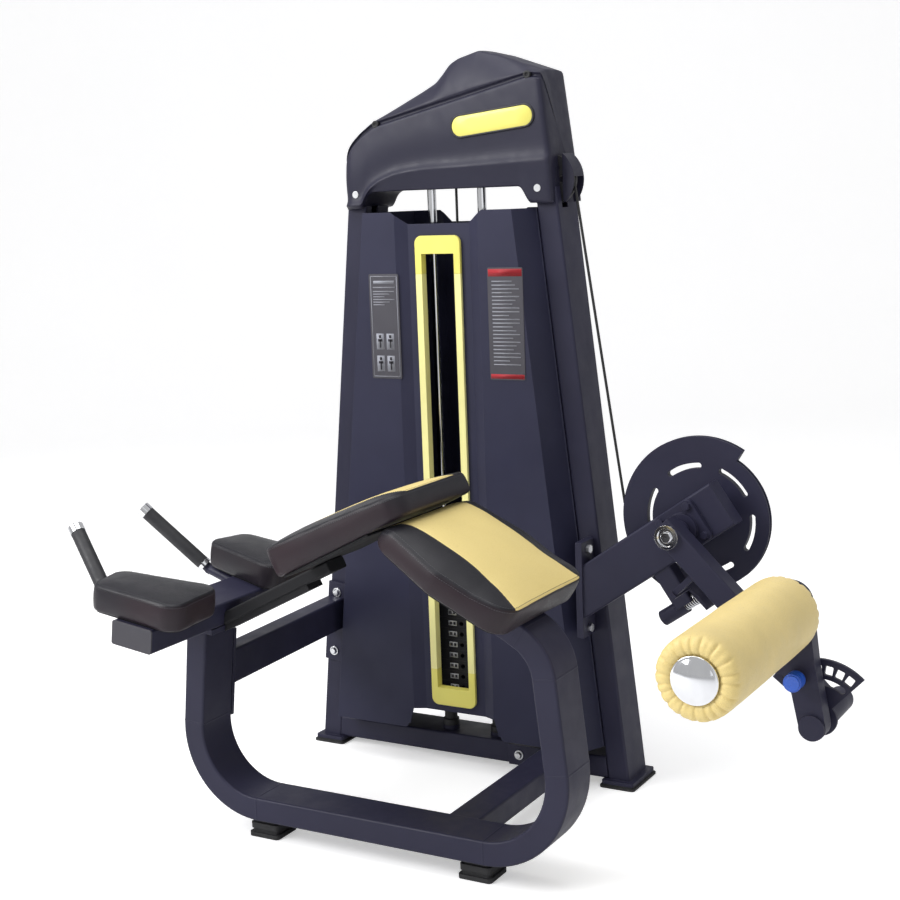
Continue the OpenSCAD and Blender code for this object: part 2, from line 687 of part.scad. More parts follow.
// The middle of a flange, leaning with the leg or the upright behind it
module at_link(e) {
    z = link_flange_z[e];
    translate([e == 0 ? leg_x(z) : upright_x(z), link_y[e], z]) rotate([0, tower_lean, 0]) children();
}
floor_x = [224, 296];
floor_h = 50;
floor_beam_z = rail_z + 23;
floor_bolt_x = [139];
floor_bolt_z = 42;
floor_mid = (floor_x[0] + floor_x[1]) / 2;
module floor_beam() {
    color("#33343f") {
        translate([floor_mid, tube_d / 2 + gap, floor_beam_z]) along_y()
            tube(floor_x[1] - floor_x[0], floor_h, tower_y - tube_d / 2 - plate_t - gap);
        difference() {
            translate([112, tower_y - plate_t - gap, foot_t + plate_t + 1]) cube([190, plate_t, rail_h - 2]);
            for (x = floor_bolt_x) bar_y(x, floor_bolt_z, tower_y - plate_t - 1, tower_y + 1, 5.5);
        }
    }
}
module frame_bolts() {
    color("#c8cacd") {
        // flange bolts of the link beam, at both ends
        for (s = [-1, 1]) {
            at_link(0) translate([0, gap, s * link_bolt]) along_y() dome_bolt();
            at_link(1) translate([0, -gap, s * link_bolt]) rotate([90, 0, 0]) dome_bolt();
        }
        // through bolts of the pivot beam's flange
        for (z = flange_bolt_z) translate([flange_x, flange_bolt_y, z]) rotate([0, 90, 0]) {
            translate([0, 0, -plate_t - gap - 8]) hex_head(17, 8);
            translate([0, 0, -plate_t - gap - 1]) cylinder(h = 2 * plate_t + 3 * gap + 2, r = 5);
            translate([0, 0, gap + plate_t + gap]) hex_head(17, 8);
        }
        // floor beam to the base rail
        for (x = floor_bolt_x) translate([x, tower_y - plate_t - 2 * gap, floor_bolt_z]) rotate([90, 0, 0])
            dome_bolt();
    }
}
module dome_bolt() {
    cylinder(h = 2.5, r = 11);
    translate([0, 0, 2]) cylinder(h = 6, r1 = 9, r2 = 6);
    translate([0, 0, -plate_t]) cylinder(h = plate_t + 1, r = 5);
}

// ---------- elbow rest ----------
crossbar_len = 520;
crossbar_h = 50;
module at_crossbar() { translate([crossbar_x, 0, crossbar_z]) rotate([0, elbow_tilt, 0]) children(); }
module elbow_crossbar() {
    color("#3d3f4b") at_crossbar() translate([0, -crossbar_len / 2, 0]) along_y()
        tube(tube_d, crossbar_h, crossbar_len);
}
module crossbar_caps() {
    color("#4d4a52") at_crossbar() both_ends() {
        translate([0, crossbar_len / 2 + gap, 0]) along_y()
            linear_extrude(3) rrect(tube_d, crossbar_h, tube_r);
        translate([0, crossbar_len / 2 - 15, 0]) along_y()
            linear_extrude(15 + 2 * gap) rrect(tube_d - 2 * tube_t - 1, crossbar_h - 2 * tube_t - 1, 2);
    }
}
elbow_board_t = 6;
elbow_pad_t = 52;
elbow_base = crossbar_h / 2 + gap;
// Plan outline of the pad at -Y: a wide rounded inner end and a narrower outer end
module elbow_outline(g) {
    hull() {
        translate([-100, -168]) circle(37 - g, $fn = HULL_FN);
        translate([-90, -224]) circle(36 - g, $fn = HULL_FN);
        translate([63, -222]) circle(40 - g, $fn = HULL_FN);
        translate([52, -133]) circle(42 - g, $fn = HULL_FN);
    }
}
module elbow_pad() {
    at_crossbar() translate([0, 0, elbow_base + elbow_board_t + gap])
        linear_extrude(elbow_pad_t) elbow_outline(0);
}
module left_elbow_pad() { color("#202127") mirror([0, 1, 0]) elbow_pad(); }
module right_elbow_pad() { color("#202127") elbow_pad(); }
module elbow_pad_boards() {
    color("#15151a") both_ends() at_crossbar() translate([0, 0, elbow_base])
        linear_extrude(elbow_board_t) elbow_outline(9);
}

// ---------- handles ----------
handle_base = [-438, 163, 513];
handle_tip = [-573, 107, 654];
handle_root = [-349.5, 150, 488.8];    // on the crossbar's left face
rod_d = 22;
grip_d = 31;
module between(p, q) {
    d = q - p;
    translate(p) rotate([0, acos(d[2] / norm(d)), atan2(d[1], d[0])]) children();
}
module handle_rod() {
    bar_len = norm(handle_tip - handle_base);
    between(handle_base, handle_tip) translate([0, 0, -8]) cylinder(h = bar_len + 4, d = rod_d);
    translate(handle_base) sphere(d = rod_d + 2);
}
module handle_rods() {
    color("#26272e") both_ends() difference() {
        union() {
            handle_rod();
            between(handle_base, handle_root)
                cylinder(h = norm(handle_root - handle_base) + rod_d, d = rod_d);
        }
        at_crossbar() translate([(big - tube_d) / 2 - gap, 0, 0]) cube(big, center = true);
    }
}
grip_len = norm(handle_tip - handle_base) - 22 - 16;
module hand_grips() {
    color("#1d1e22") both_ends() between(handle_base, handle_tip) translate([0, 0, 20]) difference() {
        cylinder(h = grip_len, d = grip_d);
        translate([0, 0, -1]) cylinder(h = grip_len + 2, d = rod_d + 2 * gap);
    }
}
module grip_rings() {
    color("#dfe1e3") both_ends() between(handle_base, handle_tip) {
        for (z = [20 - gap - 9, 20 + grip_len + gap]) translate([0, 0, z]) difference() {
            cylinder(h = z > 30 ? 17 : 9, d = grip_d + 2);
            translate([0, 0, -1]) cylinder(h = z > 30 ? 15 : 11, d = rod_d + 2 * gap);
        }
    }
}

// ---------- pads ----------
board_t = 4;
chest_t = 66;
thigh_t = 68;
// Chest pad: lower face runs up from its head end to the hip end
chest_low = [-39, 590.6];
chest_len = 342;
chest_w = [156, 153, 151];        // half widths at the head end, the middle and the hip end
chest_r = 44;
chest_board_x = [24, 246];
module at_chest() { translate([chest_low[0], 0, chest_low[1]]) rotate([0, -chest_slope, 0]) children(); }
module pad_outline(len, w0, w1, w2, r, g) {
    // w0 and w2 are the half widths at the two ends, w1 in the middle
    hull() {
        for (s = [-1, 1]) {
            translate([r, s * (w0 - r)]) circle(r - g, $fn = HULL_FN);
            translate([len / 2, s * (w1 - r)]) circle(r - g, $fn = HULL_FN);
            translate([len - r, s * (w2 - r)]) circle(r - g, $fn = HULL_FN);
        }
    }
}
module chest_pad() {
    color("#202127") at_chest() linear_extrude(chest_t)
        pad_outline(chest_len, chest_w[0], chest_w[1], chest_w[2], chest_r, 0);
}
module chest_board() {
    color("#15151a") at_chest() translate([0, 0, -board_t - gap]) linear_extrude(board_t) intersection() {
        pad_outline(chest_len, chest_w[0], chest_w[1], chest_w[2], chest_r, 14);
        translate([chest_board_x[0], -chest_w[0]])
            square([chest_board_x[1] - chest_board_x[0], 2 * chest_w[0]]);
    }
}
// Thigh pad: lower face runs down from the hip end to the knee end
thigh_low = [192, 688];
thigh_len = 317;
thigh_w = [165, 186, 172];        // half widths at the hip end, the middle and the knee end
thigh_r = 52;
// Side view of the pad, whose hip end tucks under the chest pad
thigh_side = [[0, 0], [thigh_len, 0], [thigh_len, 57], [thigh_len - 14, thigh_t - 5],
    [thigh_len - 40, thigh_t], [36, thigh_t], [24, 60], [0, 23.5]];
module at_thigh() { translate([thigh_low[0], 0, thigh_low[1]]) rotate([0, thigh_slope, 0]) children(); }
module thigh_pad() {
    color("#202127") at_thigh() intersection() {
        linear_extrude(thigh_t + 1) pad_outline(thigh_len, thigh_w[0], thigh_w[1], thigh_w[2], thigh_r, 0);
        plate_y(-thigh_w[1] - 1, thigh_w[1] + 1) polygon(thigh_side);
    }
}
module thigh_board() {
    color("#15151a") at_thigh() translate([0, 0, -board_t - gap]) linear_extrude(board_t)
        pad_outline(thigh_len, thigh_w[0], thigh_w[1], thigh_w[2], thigh_r, 16);
}
// Arm from the elbow crossbar to the chest pad, with a shorter stiffener under it
arm_w = 60;
arm_h = 25;
arm_x1 = 52;
stay_w = 50;
stay_h = 12;
stay_x1 = -18;
module pad_bracket() {
    color("#26272e") difference() {
        at_chest() {
            translate([-300, 0, -board_t - 2 * gap - arm_h / 2]) rotate([0, 90, 0])
                tube(arm_h, arm_w, arm_x1 + 300);
            translate([arm_x1 - 2, 0, -board_t - 2 * gap - arm_h / 2]) rotate([0, 90, 0])
                linear_extrude(3) rrect(arm_h - 2, arm_w - 2, 4);
            translate([-300, -stay_w / 2, -board_t - 2 * gap - arm_h - stay_h])
                cube([stay_x1 + 300, stay_w, stay_h + 1]);
        }
        at_crossbar() translate([tube_d / 2 + gap - big / 2, 0, 0]) cube(big, center = true);
    }
}

// ---------- pivot beam and lever ----------
beam_slope = 34.2;
beam_y = 470;
beam_end = 95;
beam_back = 256;
beam_mid_y = beam_y + half_w;
shaft_r = 12.5;
module along_beam() { on_pivot() rotate([0, -beam_slope, 0]) children(); }
module pivot_beam() {
    color("#3a3b47") {
        difference() {
            along_beam() translate([-beam_back - 60, beam_mid_y, 0]) rotate([0, 90, 0])
                tube(tube_d, tube_w, beam_back + 60 + beam_end);
            translate([flange_x + gap + plate_t - 0.5 - big, 0, -big / 4]) cube(big);
            bar_y(pivot_x, pivot_z, beam_y - 1, beam_y + tube_w + 1, 22);
        }
        // closing plate on the beam's free end
        along_beam() translate([beam_end - 1, beam_mid_y, 0]) rotate([0, 90, 0])
            linear_extrude(4) rrect(tube_d, tube_w, tube_r);
        flange_plate(flange_x + gap, plate_t, flange_y[0] - 3, beam_y + tube_w + 8);
        stop_arm();
    }
}
// Arm hanging under the beam, carrying the sleeve of the rest buffer
buffer_n = -137;
arm_t = [-122, -79];
sleeve_r = 17;
sleeve_t = [-165, -102];
module at_buffer() {
    along_beam() translate([0, beam_mid_y, buffer_n]) rotate([0, 90, 0]) children();
}
module stop_arm() {
    difference() {
        union() {
            along_beam() translate([(arm_t[0] + arm_t[1]) / 2, beam_mid_y, buffer_n]) linear_extrude(90)
                rrect(arm_t[1] - arm_t[0], 40, 4);
            at_buffer() translate([0, 0, sleeve_t[0]]) cylinder(h = sleeve_t[1] - sleeve_t[0], r = sleeve_r);
        }
        at_buffer() translate([0, 0, sleeve_t[0] + 8]) cylinder(h = 200, r = plunger_r + run);
        at_buffer() translate([0, 0, sleeve_t[1] - spring_well])
            cylinder(h = 200, r = spring_r + spring_wire + 0.7);
    }
}
plunger_head_t = -69.5;
plunger_r = 8;
spring_well = 14;                 // depth of the sleeve's counterbore, which the spring runs into
module buffer_plunger() {
    color("#1b1b1f") at_buffer() {
        translate([0, 0, sleeve_t[0] + 30]) cylinder(h = plunger_head_t - sleeve_t[0] - 29, r = plunger_r);
        translate([0, 0, plunger_head_t]) cylinder(h = 5, r = 15);
    }
}
spring_r = 12;
spring_wire = 1.6;
spring_turns = 6;
module buffer_spring() {
    // stacked rings stand for the coil's turns, joined by short links on alternate sides
    lo = sleeve_t[1] - 3 + spring_wire;
    hi = plunger_head_t - gap - spring_wire;
    step = (hi - lo) / spring_turns;
    color("#d6d8da") at_buffer() {
        for (i = [0 : spring_turns]) translate([0, 0, lo + i * step])
            rotate_extrude() translate([spring_r, 0]) circle(spring_wire, $fn = 24);
        for (i = [0 : spring_turns - 1]) rotate(i * 180) translate([spring_r, 0, lo + i * step])
            cylinder(h = step, r = spring_wire, $fn = 24);
    }
}
bearing_y = beam_y - gap;
bearing_bolt = 35;
module bearing_unit(y, dir) {
    // square flanged housing with a round boss, bore along Y
    translate([0, y, 0]) rotate([90 * dir, 0, 0]) difference() {
        union() {
            linear_extrude(12) rrect(95, 95, 12);
            cylinder(h = 24, r = 34);
            for (sx = [-1, 1], sy = [-1, 1]) translate([sx * bearing_bolt, sy * bearing_bolt, 12])
                hex_head(15, 8);
        }
        translate([0, 0, -1]) cylinder(h = 40, r = shaft_r + run);
    }
}
module bearing_units() {
    color("#24252b") along_beam() {
        bearing_unit(bearing_y, 1);
        bearing_unit(beam_y + tube_w + gap, -1);
    }
}
lever_y = [375, 425];
lever_mid = (lever_y[0] + lever_y[1]) / 2;
lever_len = 450;
strike_z = -85.5;                 // face of the plate that meets the rest buffer
strike_x = 85;
strike_y = [462, 519];
strike_t = 8;
cam_y = [stack_y - 8, stack_y + 8];
module along_lever() { on_pivot() rotate([0, lever_slope, 0]) children(); }
boss = [913, 306];
module lever_arm() {
    color("#3a3b47") difference() {
        union() {
            along_lever() translate([-26, lever_mid, 0]) rotate([0, 90, 0])
                tube(tube_w, tube_w, lever_len + 26);
            // hub cross-tube at the knee pivot
            bar_y(pivot_x, pivot_z, lever_y[0] + 0.5, lever_y[1] + 18, 21);
            // boss tube at the free end
            bar_y(boss[0], boss[1], sector_y[1] - 1, lever_y[1] + 4, 25);
            along_lever() translate([-27, lever_mid, 0]) rotate([0, 90, 0]) linear_extrude(3)
                rrect(tube_w - 2, tube_w - 2, tube_r - 1);
            // strike plate for the rest buffer, on a narrow strip and a gusset off the lever
            along_lever() {
                translate([strike_x, strike_y[0], strike_z]) cube([70, strike_y[1] - strike_y[0], strike_t]);
                translate([strike_x, lever_y[0] + 5, strike_z])
                    cube([15, strike_y[1] - lever_y[0] - 5, strike_t]);
                translate([strike_x, lever_y[0] + 10, strike_z + strike_t - 1])
                    cube([12, 30, -strike_z - strike_t - half_w + 2]);
                translate([lever_len - 2, lever_mid, 0]) rotate([0, 90, 0]) linear_extrude(3)
                    rrect(tube_w - 2, tube_w - 2, tube_r - 1);
            }
            sector_plate();
        }
        bar_y(pivot_x, pivot_z, 300, 500, shaft_r);
        bar_y(boss[0], boss[1], 200, 500, adjust_r + run);
    }
}
shaft_y = [lever_y[0] - 2, cam_y[1] + 10];
module pivot_shaft() {
    color("#b9bcc0") bar_y(pivot_x, pivot_z, shaft_y[0], shaft_y[1], shaft_r);
}
module hub_cap() {
    color("#dfe1e3") {
        difference() {
            bar_y(pivot_x, pivot_z, lever_y[0] - 9, lever_y[0] - gap, 25);
            bar_y(pivot_x, pivot_z, lever_y[0] - 12, lever_y[0] - 5, 19);
            bar_y(pivot_x, pivot_z, lever_y[0] - 12, lever_y[0] + 5, shaft_r + gap);
        }
        translate([pivot_x, shaft_y[0] - gap, pivot_z]) rotate([90, 0, 0]) {
            cylinder(h = 2, r = 15);
            translate([0, 0, 2]) hex_head(19, 6);
        }
    }
}
// Spiral edge of the cam's cable side, then a smaller round
cam_big = cam_pitch_r + 6;
cam_small = 152;
cam_step = 58;                    // direction of the step at rest
module cam_disc(y0, y1, r_big, r_small) {
    plate_y(y0, y1) difference() {
        union() {
            circle(r_small, $fn = 128);
            intersection() {
                circle(r_big, $fn = 128);
                polygon(concat([[0, 0]], [for (a = [cam_step : 32 : cam_step + 224])
                    300 * [cos(a), sin(a)]]));
            }
        }
    }
}
cam_slots = 6;
cam_slot_r = 115.5;
cam_slot_a = 48.5;                // direction of the first slot
module cam_slot() {
    // rounded arc slot about 34 degrees long
    difference() {
        circle(cam_slot_r + 6);
        circle(cam_slot_r - 6);
        polygon([[0, 0], 400 * [cos(17), sin(17)], [0, 500], [-500, 0], [0, -500],
            400 * [cos(17), -sin(17)]]);
    }
    for (a = [-17, 17]) rotate(a) translate([cam_slot_r, 0]) circle(6.3);
}
module cam() {
    color("#30323c") on_pivot() {
        difference() {
            union() {
                cam_disc(cam_y[0], cam_y[0] + 4, cam_big, cam_small);
                cam_disc(cam_y[1] - 4, cam_y[1], cam_big, cam_small);
                cam_disc(cam_y[0] + 3, cam_y[1] - 3, cam_pitch_r - cable_r - gap, cam_small - 3);
                bar_y(0, 0, beam_y + tube_w + 26, cam_y[0] + 1, 32);
            }
            bar_y(0, 0, 400, 700, shaft_r);
            plate_y(cam_y[0] - 1, cam_y[1] + 1) for (i = [0 : cam_slots - 1])
                rotate(cam_slot_a + i * 360 / cam_slots) cam_slot();
        }
    }
}
module cam_cable() {
    // the end of the cable, lying in the cam's groove
    color("#141417") xz_arc([pivot_x, pivot_z], cam_pitch_r, cam_step + 10, 250);
}

// ---------- ankle roller ----------
roller = [858, 524];
roller_y = [-217, 228];
bracket_y = [236, 272];
roller_shaft_r = 12.5;
adjust_r = 11;
sector_y = [290, 298];
hole_ring = 98;
hole_step = 12.5;
pin_a = 105.4;                    // direction from the boss to the pop pin
slot_ring = 74;
module at_boss() { translate([boss[0], 0, boss[1]]) children(); }
module ring_slot(r, w, a0, a1) {
    // arc slot of width w from direction a0 to a1
    intersection() {
        difference() { circle(r + w / 2); circle(r - w / 2); }
        polygon([[0, 0], 300 * [cos(a0), sin(a0)], 400 * [cos((a0 + a1) / 2), sin((a0 + a1) / 2)],
            300 * [cos(a1), sin(a1)]]);
    }
    for (a = [a0, a1]) translate(r * [cos(a), sin(a)]) circle(w / 2 + 0.3);
}
sector_a = [46, 142];
module sector_plate() {
    at_boss() plate_y(sector_y[0], sector_y[1]) difference() {
        union() {
            circle(32);
            intersection() {
                circle(119, $fn = 128);
                polygon([[0, 0], 200 * [cos(sector_a[0]), sin(sector_a[0])],
                    260 * [cos(94), sin(94)], 200 * [cos(sector_a[1]), sin(sector_a[1])]]);
            }
        }
        for (i = [-4 : 2]) rotate(pin_a + i * hole_step - 90) translate([0, hole_ring]) rrect(15.4, 19, 2.5);
        ring_slot(slot_ring, 13, 56, 132);
    }
}
// The bracket's two plates: a wide head round the roller shaft, tapering to the boss
head_mid = [864, 538];
heel = [838, 430];
waist = [899, 421];
module bracket_outline() {
    hull() {
        translate(head_mid) circle(42, $fn = HULL_FN * 2);
        translate(heel) circle(26, $fn = HULL_FN);
        translate(waist) circle(20, $fn = HULL_FN);
    }
    hull() {
        translate(boss) circle(26, $fn = HULL_FN);
        translate(waist - [6, 30]) circle(24, $fn = HULL_FN);
        translate(waist) circle(20, $fn = HULL_FN);
    }
}
pin_pos = boss + hole_ring * [cos(pin_a), sin(pin_a)];
guide_pos = boss + slot_ring * [cos(pin_a), sin(pin_a)];
pin_r = 6;
collar_r = 14;
module roller_bracket() {
    color("#33343f") {
        difference() {
            union() {
                plate_y(bracket_y[0], bracket_y[0] + 8) bracket_outline();
                plate_y(bracket_y[1] - 8, bracket_y[1]) bracket_outline();
                plate_y(bracket_y[0] + 7, bracket_y[1] - 7) intersection() {
                    bracket_outline();
                    translate([waist[0] - 8, boss[1] - 16]) square([90, 400]);
                }
                // shoulder round the pop pin, guide stud and lower boss
                bar_y(pin_pos[0], pin_pos[1], bracket_y[0] - 10, bracket_y[1] + 1, collar_r);
                bar_y(guide_pos[0], guide_pos[1], bracket_y[1] - 1, sector_y[1] + 4, 4);
                bar_y(boss[0], boss[1], bracket_y[0] - 6, bracket_y[1] + 1, 25);
                bar_y(roller[0], roller[1], bracket_y[0] - 4, bracket_y[1], 22);
                // shaft of the roller, fixed in the bracket
                bar_y(roller[0], roller[1], roller_y[0] - 4, bracket_y[1] + 4, roller_shaft_r);
                // pivot pin, running in the lever's boss tube
                bar_y(boss[0], boss[1], bracket_y[1], lever_y[1] + 6, adjust_r);
            }
            bar_y(pin_pos[0], pin_pos[1], bracket_y[0] - 30, bracket_y[1] + 30, pin_r + run);
        }
        bar_y(boss[0], boss[1], lever_y[1] + 5, lever_y[1] + 11, 20);
        end_cap();
    }
}
cap_r = 41;
module end_cap() {
    // domed cap on the roller shaft's free end
    translate([roller[0], roller_y[0] - 3, roller[1]]) rotate([90, 0, 0]) {
        cylinder(h = 4, r = cap_r);
        translate([0, 0, 4]) intersection() {
            translate([0, 0, -72]) sphere(r = 83, $fn = 96);
            cylinder(h = 30, r = cap_r);
        }
    }
}
module pop_pin() {
    at = [pin_pos[0], 0, pin_pos[1]];
    color("#1f56c8") translate(at) {
        // cup-shaped knob that slides over the collar
        difference() {
            union() {
                bar_y(0, 0, bracket_y[0] - 38, bracket_y[0] - 11, 17.5);
                bar_y(0, 0, bracket_y[0] - 41, bracket_y[0] - 37, 14.5);
            }
            bar_y(0, 0, bracket_y[0] - 24, bracket_y[0], collar_r + gap);
        }
    }
    color("#c8cacd") translate(at) bar_y(0, 0, bracket_y[0] - 25, sector_y[0] - 1, pin_r);
}
module ankle_roller() {
    color("#f0dc82") translate([roller[0], roller_y[0], roller[1]]) along_y() difference() {
        cylinder(h = roller_y[1] - roller_y[0], d = roller_dia, $fn = 96);
        translate([0, 0, -1]) cylinder(h = 600, r = roller_shaft_r + run);
    }
}

in_row_frame() left_upright();
in_row_frame() right_upright();
in_row_frame() base_rail();
in_row_frame() bridge_plates();
in_row_frame() bridge_bolts();
in_row_frame() tower_feet();
in_row_frame() guide_rods();
in_row_frame() rod_clamp_block();
in_row_frame() rod_cushions();
in_row_frame() weight_plates();
in_row_frame() lifted_plates();
in_row_frame() top_plate();
in_row_frame() selector_stem();
in_row_frame() selector_pin();
in_row_frame() centre_pulley();
in_row_frame() side_pulley();
in_row_frame() pulley_axles();
in_row_frame() lift_cable();
in_row_frame() front_cover();
in_row_frame() rear_cover();
in_row_frame() panel_screws();
in_row_frame() window_top_cap();
in_row_frame() window_bottom_cap();
in_row_frame() window_strips();
in_row_frame() placards();
in_row_frame() hood_front();
in_row_frame() hood_rear();
in_row_frame() pulley_cover();
in_row_frame() badge();
in_row_frame() bench_frame();
in_row_frame() bench_feet();
in_row_frame() left_link_beam();
in_row_frame() floor_beam();
in_row_frame() frame_bolts();
in_row_frame() elbow_crossbar();
in_row_frame() crossbar_caps();
in_row_frame() left_elbow_pad();
in_row_frame() right_elbow_pad();
in_row_frame() elbow_pad_boards();
in_row_frame() handle_rods();
in_row_frame() hand_grips();
in_row_frame() grip_rings();
in_row_frame() chest_pad();
in_row_frame() chest_board();
in_row_frame() thigh_pad();
in_row_frame() thigh_board();
in_row_frame() pad_bracket();
in_row_frame() pivot_beam();
in_row_frame() bearing_units();
in_row_frame() buffer_spring();
in_row_frame() buffer_plunger();
in_row_frame() lever_arm();
in_row_frame() pivot_shaft();
in_row_frame() hub_cap();
in_row_frame() cam();
in_row_frame() cam_cable();
in_row_frame() roller_bracket();
in_row_frame() pop_pin();
in_row_frame() ankle_roller();
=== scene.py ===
import bpy, bmesh, json, math
import numpy as np
from mathutils import Matrix, Vector
from mathutils.bvhtree import BVHTree


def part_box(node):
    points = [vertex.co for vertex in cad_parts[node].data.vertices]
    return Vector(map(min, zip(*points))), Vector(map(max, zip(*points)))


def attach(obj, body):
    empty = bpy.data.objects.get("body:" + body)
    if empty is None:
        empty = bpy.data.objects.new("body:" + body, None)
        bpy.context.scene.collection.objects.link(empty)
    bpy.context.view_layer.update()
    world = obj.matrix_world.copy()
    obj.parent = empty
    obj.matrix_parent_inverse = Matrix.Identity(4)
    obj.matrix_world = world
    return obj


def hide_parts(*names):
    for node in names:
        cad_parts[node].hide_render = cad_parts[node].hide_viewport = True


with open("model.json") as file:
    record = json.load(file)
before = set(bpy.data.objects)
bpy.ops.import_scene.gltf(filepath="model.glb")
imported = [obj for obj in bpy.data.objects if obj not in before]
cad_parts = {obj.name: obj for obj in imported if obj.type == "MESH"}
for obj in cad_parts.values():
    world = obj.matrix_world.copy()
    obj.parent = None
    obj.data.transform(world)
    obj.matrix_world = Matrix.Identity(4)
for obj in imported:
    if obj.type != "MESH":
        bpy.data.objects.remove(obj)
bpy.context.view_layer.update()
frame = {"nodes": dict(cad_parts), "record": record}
NODES = frame["nodes"]
MM = 0.001
FOOT_X = 326.0            # the origin is the bench's right foot; X below is from the tower's middle


def P(x, y, z):
    """A point in millimetres, X from the tower's middle plane, as a row-frame vector in metres."""
    return Vector(((x - FOOT_X) * MM, y * MM, z * MM))


# ------------------------------------------------------------------ materials
class Mat:
    """Small helper that builds a node material round one Principled shader."""

    def __init__(self, name):
        self.m = bpy.data.materials.new(name)
        self.m.use_nodes = True
        self.t = self.m.node_tree
        self.t.nodes.clear()
        self.out = self.t.nodes.new("ShaderNodeOutputMaterial")
        self.b = self.t.nodes.new("ShaderNodeBsdfPrincipled")
        self.t.links.new(self.b.outputs[0], self.out.inputs[0])
        self.tc = self.t.nodes.new("ShaderNodeTexCoord")
        self.normal = None

    def node(self, kind, **kw):
        n = self.t.nodes.new(kind)
        for k, v in kw.items():
            setattr(n, k, v)
        return n

    def link(self, a, b):
        self.t.links.new(a, b)

    def coords(self, scale=(1, 1, 1)):
        mp = self.node("ShaderNodeMapping")
        mp.inputs["Scale"].default_value = scale
        self.link(self.tc.outputs["Object"], mp.inputs[0])
        return mp.outputs[0]

    def noise(self, scale, detail=4, rough=0.55, vec=None, distortion=0.0):
        n = self.node("ShaderNodeTexNoise")
        n.inputs["Scale"].default_value = scale
        n.inputs["Detail"].default_value = detail
        n.inputs["Roughness"].default_value = rough
        n.inputs["Distortion"].default_value = distortion
        self.link(vec or self.coords(), n.inputs["Vector"])
        return n.outputs["Fac"]

    def voronoi(self, scale):
        n = self.node("ShaderNodeTexVoronoi", feature="DISTANCE_TO_EDGE")
        n.inputs["Scale"].default_value = scale
        self.link(self.coords(), n.inputs["Vector"])
        return n.outputs["Distance"]

    def ramp(self, fac, stops):
        r = self.node("ShaderNodeValToRGB")
        while len(r.color_ramp.elements) < len(stops):
            r.color_ramp.elements.new(0.5)
        for e, (pos, c) in zip(r.color_ramp.elements, stops):
            e.position = pos
            e.color = (c, c, c, 1) if isinstance(c, (int, float)) else (*c, 1)
        self.link(fac, r.inputs[0])
        return r.outputs[0]

    def math(self, op, a, b=0.0):
        n = self.node("ShaderNodeMath", operation=op)
        for i, v in enumerate((a, b)):
            if isinstance(v, (int, float)):
                n.inputs[i].default_value = v
            else:
                self.link(v, n.inputs[i])
        return n.outputs[0]

    def mix(self, fac, a, b):
        n = self.node("ShaderNodeMix", data_type="RGBA")
        if isinstance(fac, (int, float)):
            n.inputs[0].default_value = fac
        else:
            self.link(fac, n.inputs[0])
        for i, v in ((6, a), (7, b)):
            if isinstance(v, tuple):
                n.inputs[i].default_value = (*v, 1)
            else:
                self.link(v, n.inputs[i])
        return n.outputs[2]

    def round_edges(self, radius):
        n = self.node("ShaderNodeBevel", samples=4)
        n.inputs["Radius"].default_value = radius
        self.normal = n.outputs[0]
        return self

    def edge_mask(self, radius):
        """1 on convex and concave edges, 0 on flats."""
        bev = self.node("ShaderNodeBevel", samples=4)
        bev.inputs["Radius"].default_value = radius
        geo = self.node("ShaderNodeNewGeometry")
        dot = self.node("ShaderNodeVectorMath", operation="DOT_PRODUCT")
        self.link(bev.outputs[0], dot.inputs[0])
        self.link(geo.outputs["Normal"], dot.inputs[1])
        return self.ramp(dot.outputs["Value"], [(0.90, 1.0), (0.995, 0.0)])

    def bump(self, height, distance, strength=1.0):
        n = self.node("ShaderNodeBump")
        n.inputs["Strength"].default_value = strength
        n.inputs["Distance"].default_value = distance
        self.link(height, n.inputs["Height"])
        if self.normal:
            self.link(self.normal, n.inputs["Normal"])
        self.normal = n.outputs[0]
        return self

    def set(self, **kw):
        names = {"color": "Base Color", "metal": "Metallic", "rough": "Roughness", "coat": "Coat Weight",
                 "coat_rough": "Coat Roughness", "sheen": "Sheen Weight", "spec": "Specular IOR Level"}
        for k, v in kw.items():
            s = self.b.inputs[names[k]]
            if isinstance(v, tuple):
                s.default_value = (*v, 1)
            elif isinstance(v, (int, float)):
                s.default_value = v
            else:
                self.link(v, s)
        return self

    def done(self):
        if self.normal:
            self.link(self.normal, self.b.inputs["Normal"])
        return self.m


def shade(colour, factor, lift=0.0):
    """The colour scaled by factor, raised by lift and kept at or below 1."""
    return tuple(min(1.0, c * factor + lift) for c in colour)


def powder_coat(name, base, edge=1.55, rough=0.42, grain=900):
    m = Mat(name)
    big = m.noise(5, 3)
    fine = m.noise(grain, 2)
    tint = m.mix(m.ramp(big, [(0.3, 0.0), (0.7, 1.0)]), shade(base, 0.88), shade(base, 1.12))
    worn = m.math("MULTIPLY", m.edge_mask(0.0022), m.ramp(m.noise(60, 4), [(0.35, 0.25), (0.7, 1.0)]))
    m.set(color=m.mix(m.math("MULTIPLY", worn, 0.45), tint, shade(base, edge, 0.02)),
          rough=m.ramp(m.noise(22, 4), [(0.25, rough - 0.07), (0.75, rough + 0.09)]), spec=0.25)
    m.round_edges(0.0016).bump(fine, 0.00012, 0.55)
    return m.done()


def moulded(name, base, rough=0.38, grain=1400, coat=0.0, spec=0.5):
    m = Mat(name)
    tint = m.mix(m.ramp(m.noise(4, 3), [(0.3, 0.0), (0.7, 1.0)]), shade(base, 0.9), shade(base, 1.1))
    m.set(color=tint, coat=coat, coat_rough=0.12, spec=spec,
          rough=m.ramp(m.noise(35, 4), [(0.3, rough - 0.05), (0.7, rough + 0.08)]))
    m.round_edges(0.0018).bump(m.noise(grain, 2), 0.00008, 0.5)
    return m.done()


